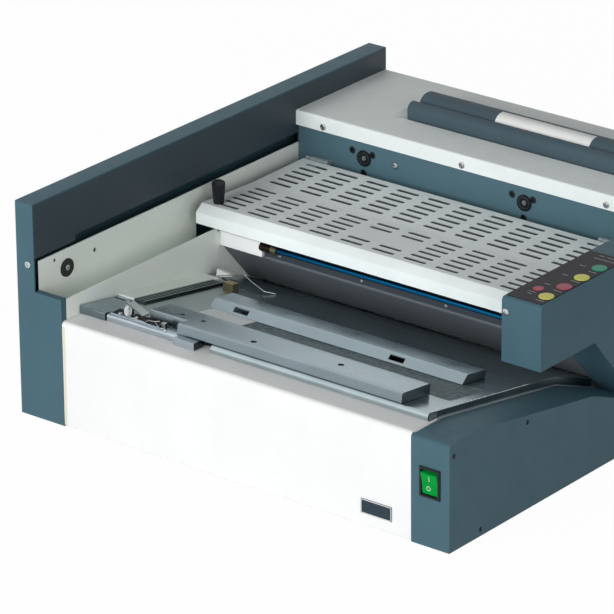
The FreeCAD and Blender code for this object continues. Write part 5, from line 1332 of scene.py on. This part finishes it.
@dataclass
class FeedOpening(SubAssembly):
    """Chute, beam, guide rod and bracket behind the table."""

    coats: Coats = (
        Coat(DARK_COAT, 0.3, "rod_beam"),
        Coat(CHUTE_COAT, 0.3, "chute_panel"),
        Coat(BLUE_ROD, 0.3, "blue_guide_rod"),
        Coat(DULL_BRASS, 0.4, "brass_fittings"),
        Coat(BRACKET_COAT, 0.3, "rod_bracket"),
    )
    bush_x: tuple = (117.7, 132.5)
    bush_radius: float = 5.1
    bush_rim: float = 0.3
    rod_y: float = 256.8
    rod_z: float = 133.0

    def small_parts(self) -> None:
        """Bronze sleeve of the left bush."""
        length, radius, rim = self.bush_x[1] - self.bush_x[0], self.bush_radius, self.bush_rim
        profile = [(radius - rim, 0.0), (radius, rim), (radius, length - rim), (radius - rim, length)]
        place = facing_matrix(at(self.bush_x[0], self.rod_y, self.rod_z), Facing.RIGHT)
        new_piece("bush_sleeve", placed(revolved(profile, 36), place), DARK_BRONZE)


@dataclass
class GlueCarriage(SubAssembly):
    """Carriage with the milling motor, the cutter, the tank and its rollers."""

    coats: Coats = (
        Coat(GROUND_STEEL, 0.3, "frame_plates"),
        Coat(GROUND_STEEL, 0.4, "carriage_plate glue_tank"),
        Coat(MOTOR_ENAMEL, 0.4, "drive_motor cutter_motor"),
        Coat(TURNED_STEEL, 0.2, "drive_screw"),
        Coat(CARBIDE, 0.25, "milling_cutter"),
        Coat(TURNED_STEEL, 0.3, "glue_roller_left glue_roller_right"),
    )
    bath_x: tuple = (146.0, 205.0)
    bath_y: tuple = (471.3, 530.2)
    bath_z: tuple = (84.0, 92.0)
    rollers_x: tuple = (160.0, 191.0)
    roller_z: float = 101.0
    roller_radius: float = 14.4                 # of the hollows that the rollers turn in
    overrun: float = 2.0                        # how far the cutting rods pass the glue's ends

    def small_parts(self) -> None:
        """Molten glue in the tank, hollowed where the rollers dip."""
        bath = box(self.bath_x, self.bath_y, self.bath_z, 0.0)
        length = self.bath_y[1] - self.bath_y[0] + 2 * self.overrun
        for x in self.rollers_x:
            place = facing_matrix(at(x, self.bath_y[0] - self.overrun, self.roller_z), Facing.BACK)
            bath = carved(bath, placed(rod(self.roller_radius, length, 48), place))
        new_piece("glue_bath", bath, GLUE, "carriage")


class RearInlet(SubAssembly):
    """Mains inlet on the rear panel."""

    coats: Coats = (Coat(BLACK_NYLON, 0.2, "power_inlet"),)


# ---- studio
@dataclass
class Studio:
    """Pale floor, soft lamps and the camera."""

    lamps: tuple = (            # name, direction, distance and side in metres, share of a white face's light
        ("key", (-0.14, -0.92, 0.34), 3.8, 2.4, 0.78),
        ("fill", (0.78, -0.58, 0.2), 3.2, 2.0, 0.34),
        ("rim", (-0.75, 0.35, 0.55), 1.4, 1.0, 0.1),
    )
    aim: tuple = (0.0, 0.0, 0.12)
    world_share: float = 0.1
    white: str = "#FFFFFF"
    floor_colour: str = "#EDEDED"
    floor_glow: float = 0.98    # share of the floor's own light where it is seen, the rest takes shadow
    floor_size: float = 14.0
    camera_place: tuple = (2.877806, -3.763190, 2.113831)
    yaw: float = 38.6597
    pitch: float = 23.0099
    roll: float = -0.5227
    lens: float = 287.266

    def floor(self) -> None:
        """Plain pale floor that keeps the machine's shadow."""
        shape = bmesh.new()
        bmesh.ops.create_grid(shape, x_segments=1, y_segments=1, size=self.floor_size / 2)
        floor = linked("floor", meshed(shape, "floor"))
        material = bpy.data.materials.new("pale_floor")
        tree = emptied(material)
        matt = add(tree, "BsdfDiffuse", {"Color": linear(self.floor_colour)})
        glow = add(tree, "Emission", {"Color": linear(self.white), "Strength": 1.0})
        share = add(tree, "Math", {0: self.seen(tree), 1: self.floor_glow}, operation="MULTIPLY").outputs[0]
        mixed = add(tree, "MixShader", {"Fac": share, 1: matt.outputs[0], 2: glow.outputs[0]})
        add(tree, "OutputMaterial", {"Surface": mixed.outputs[0]})
        floor.data.materials.append(material)

    def seen(self, tree: Tree) -> Socket:
        """Tell how a ray came.

        Args:
            tree: the node tree.

        Returns:
            A socket that is one where a surface is seen straight, in a reflection or through glass.
        """
        path = add(tree, "LightPath").outputs
        seen = path["Is Camera Ray"]
        for way in ("Is Glossy Ray", "Is Transmission Ray"):
            seen = add(tree, "Math", {0: seen, 1: path[way]}, operation="MAXIMUM").outputs[0]
        return seen

    def world(self) -> None:
        """White surroundings to look at, and a weaker even light."""
        world = bpy.data.worlds.new("studio")
        bpy.context.scene.world = world
        tree = emptied(world)
        strength = add(tree, "MapRange", {"Value": self.seen(tree), "To Min": self.world_share,
                                          "To Max": 1.0})
        light = add(tree, "Background", {"Color": linear(self.white), "Strength": strength.outputs["Result"]})
        add(tree, "OutputWorld", {"Surface": light.outputs[0]})

    def lamp(self, name: str, out: tuple[float, float, float], distance: float, size: float,
             share: float) -> None:
        """Square soft lamp aimed at the machine.

        Args:
            name: the lamp's name.
            out: direction from the machine to the lamp.
            distance: metres from the machine.
            size: side of the lamp in metres.
            share: part of a white face's brightness that the lamp gives when it faces it.
        """
        direction = Vector(out).normalized()
        light = settled(bpy.data.lights.new(name, "AREA"), size=size,
                        energy=share * (math.pi * distance) ** 2)
        settled(linked(name, light), location=Vector(self.aim) + direction * distance,
                rotation_mode="QUATERNION", rotation_quaternion=direction.to_track_quat("Z", "Y"),
                visible_glossy=False)       # metals mirror the white surroundings alone

    def camera(self) -> None:
        """Camera at the viewing angle, with the square frame."""
        yaw, pitch, roll = (math.radians(value) for value in (self.yaw, self.pitch, self.roll))
        ahead = Vector((-math.sin(yaw) * math.cos(pitch), math.cos(yaw) * math.cos(pitch), -math.sin(pitch)))
        right = Vector((math.cos(yaw), math.sin(yaw), 0.0))
        up = right.cross(ahead)
        across = right * math.cos(roll) + up * math.sin(roll)
        upright = up * math.cos(roll) - right * math.sin(roll)
        lens = settled(bpy.data.cameras.new("camera"), lens=self.lens, sensor_width=36.0, clip_start=0.1,
                       clip_end=50.0)
        camera = linked("camera", lens)
        rotation = Matrix((across, upright, -ahead)).transposed().to_4x4()
        camera.matrix_world = Matrix.Translation(Vector(self.camera_place)) @ rotation
        bpy.context.scene.camera = camera

    def build(self) -> None:
        """Set up the floor, the light and the camera."""
        self.floor()
        self.world()
        for row in self.lamps:
            self.lamp(*row)
        self.camera()
        bpy.context.scene.view_settings.view_transform = "Standard"


def main() -> None:
    """Build every sub-assembly in order."""
    for assembly in (Covers(), Fasteners(), Controls(), Clamp(), Guard(), CoverStation(), FeedOpening(),
                     GlueCarriage(), RearInlet(), Studio()):
        LOG.info("building %s", type(assembly).__name__)
        assembly.build()


if __name__ == "__main__":
    main()
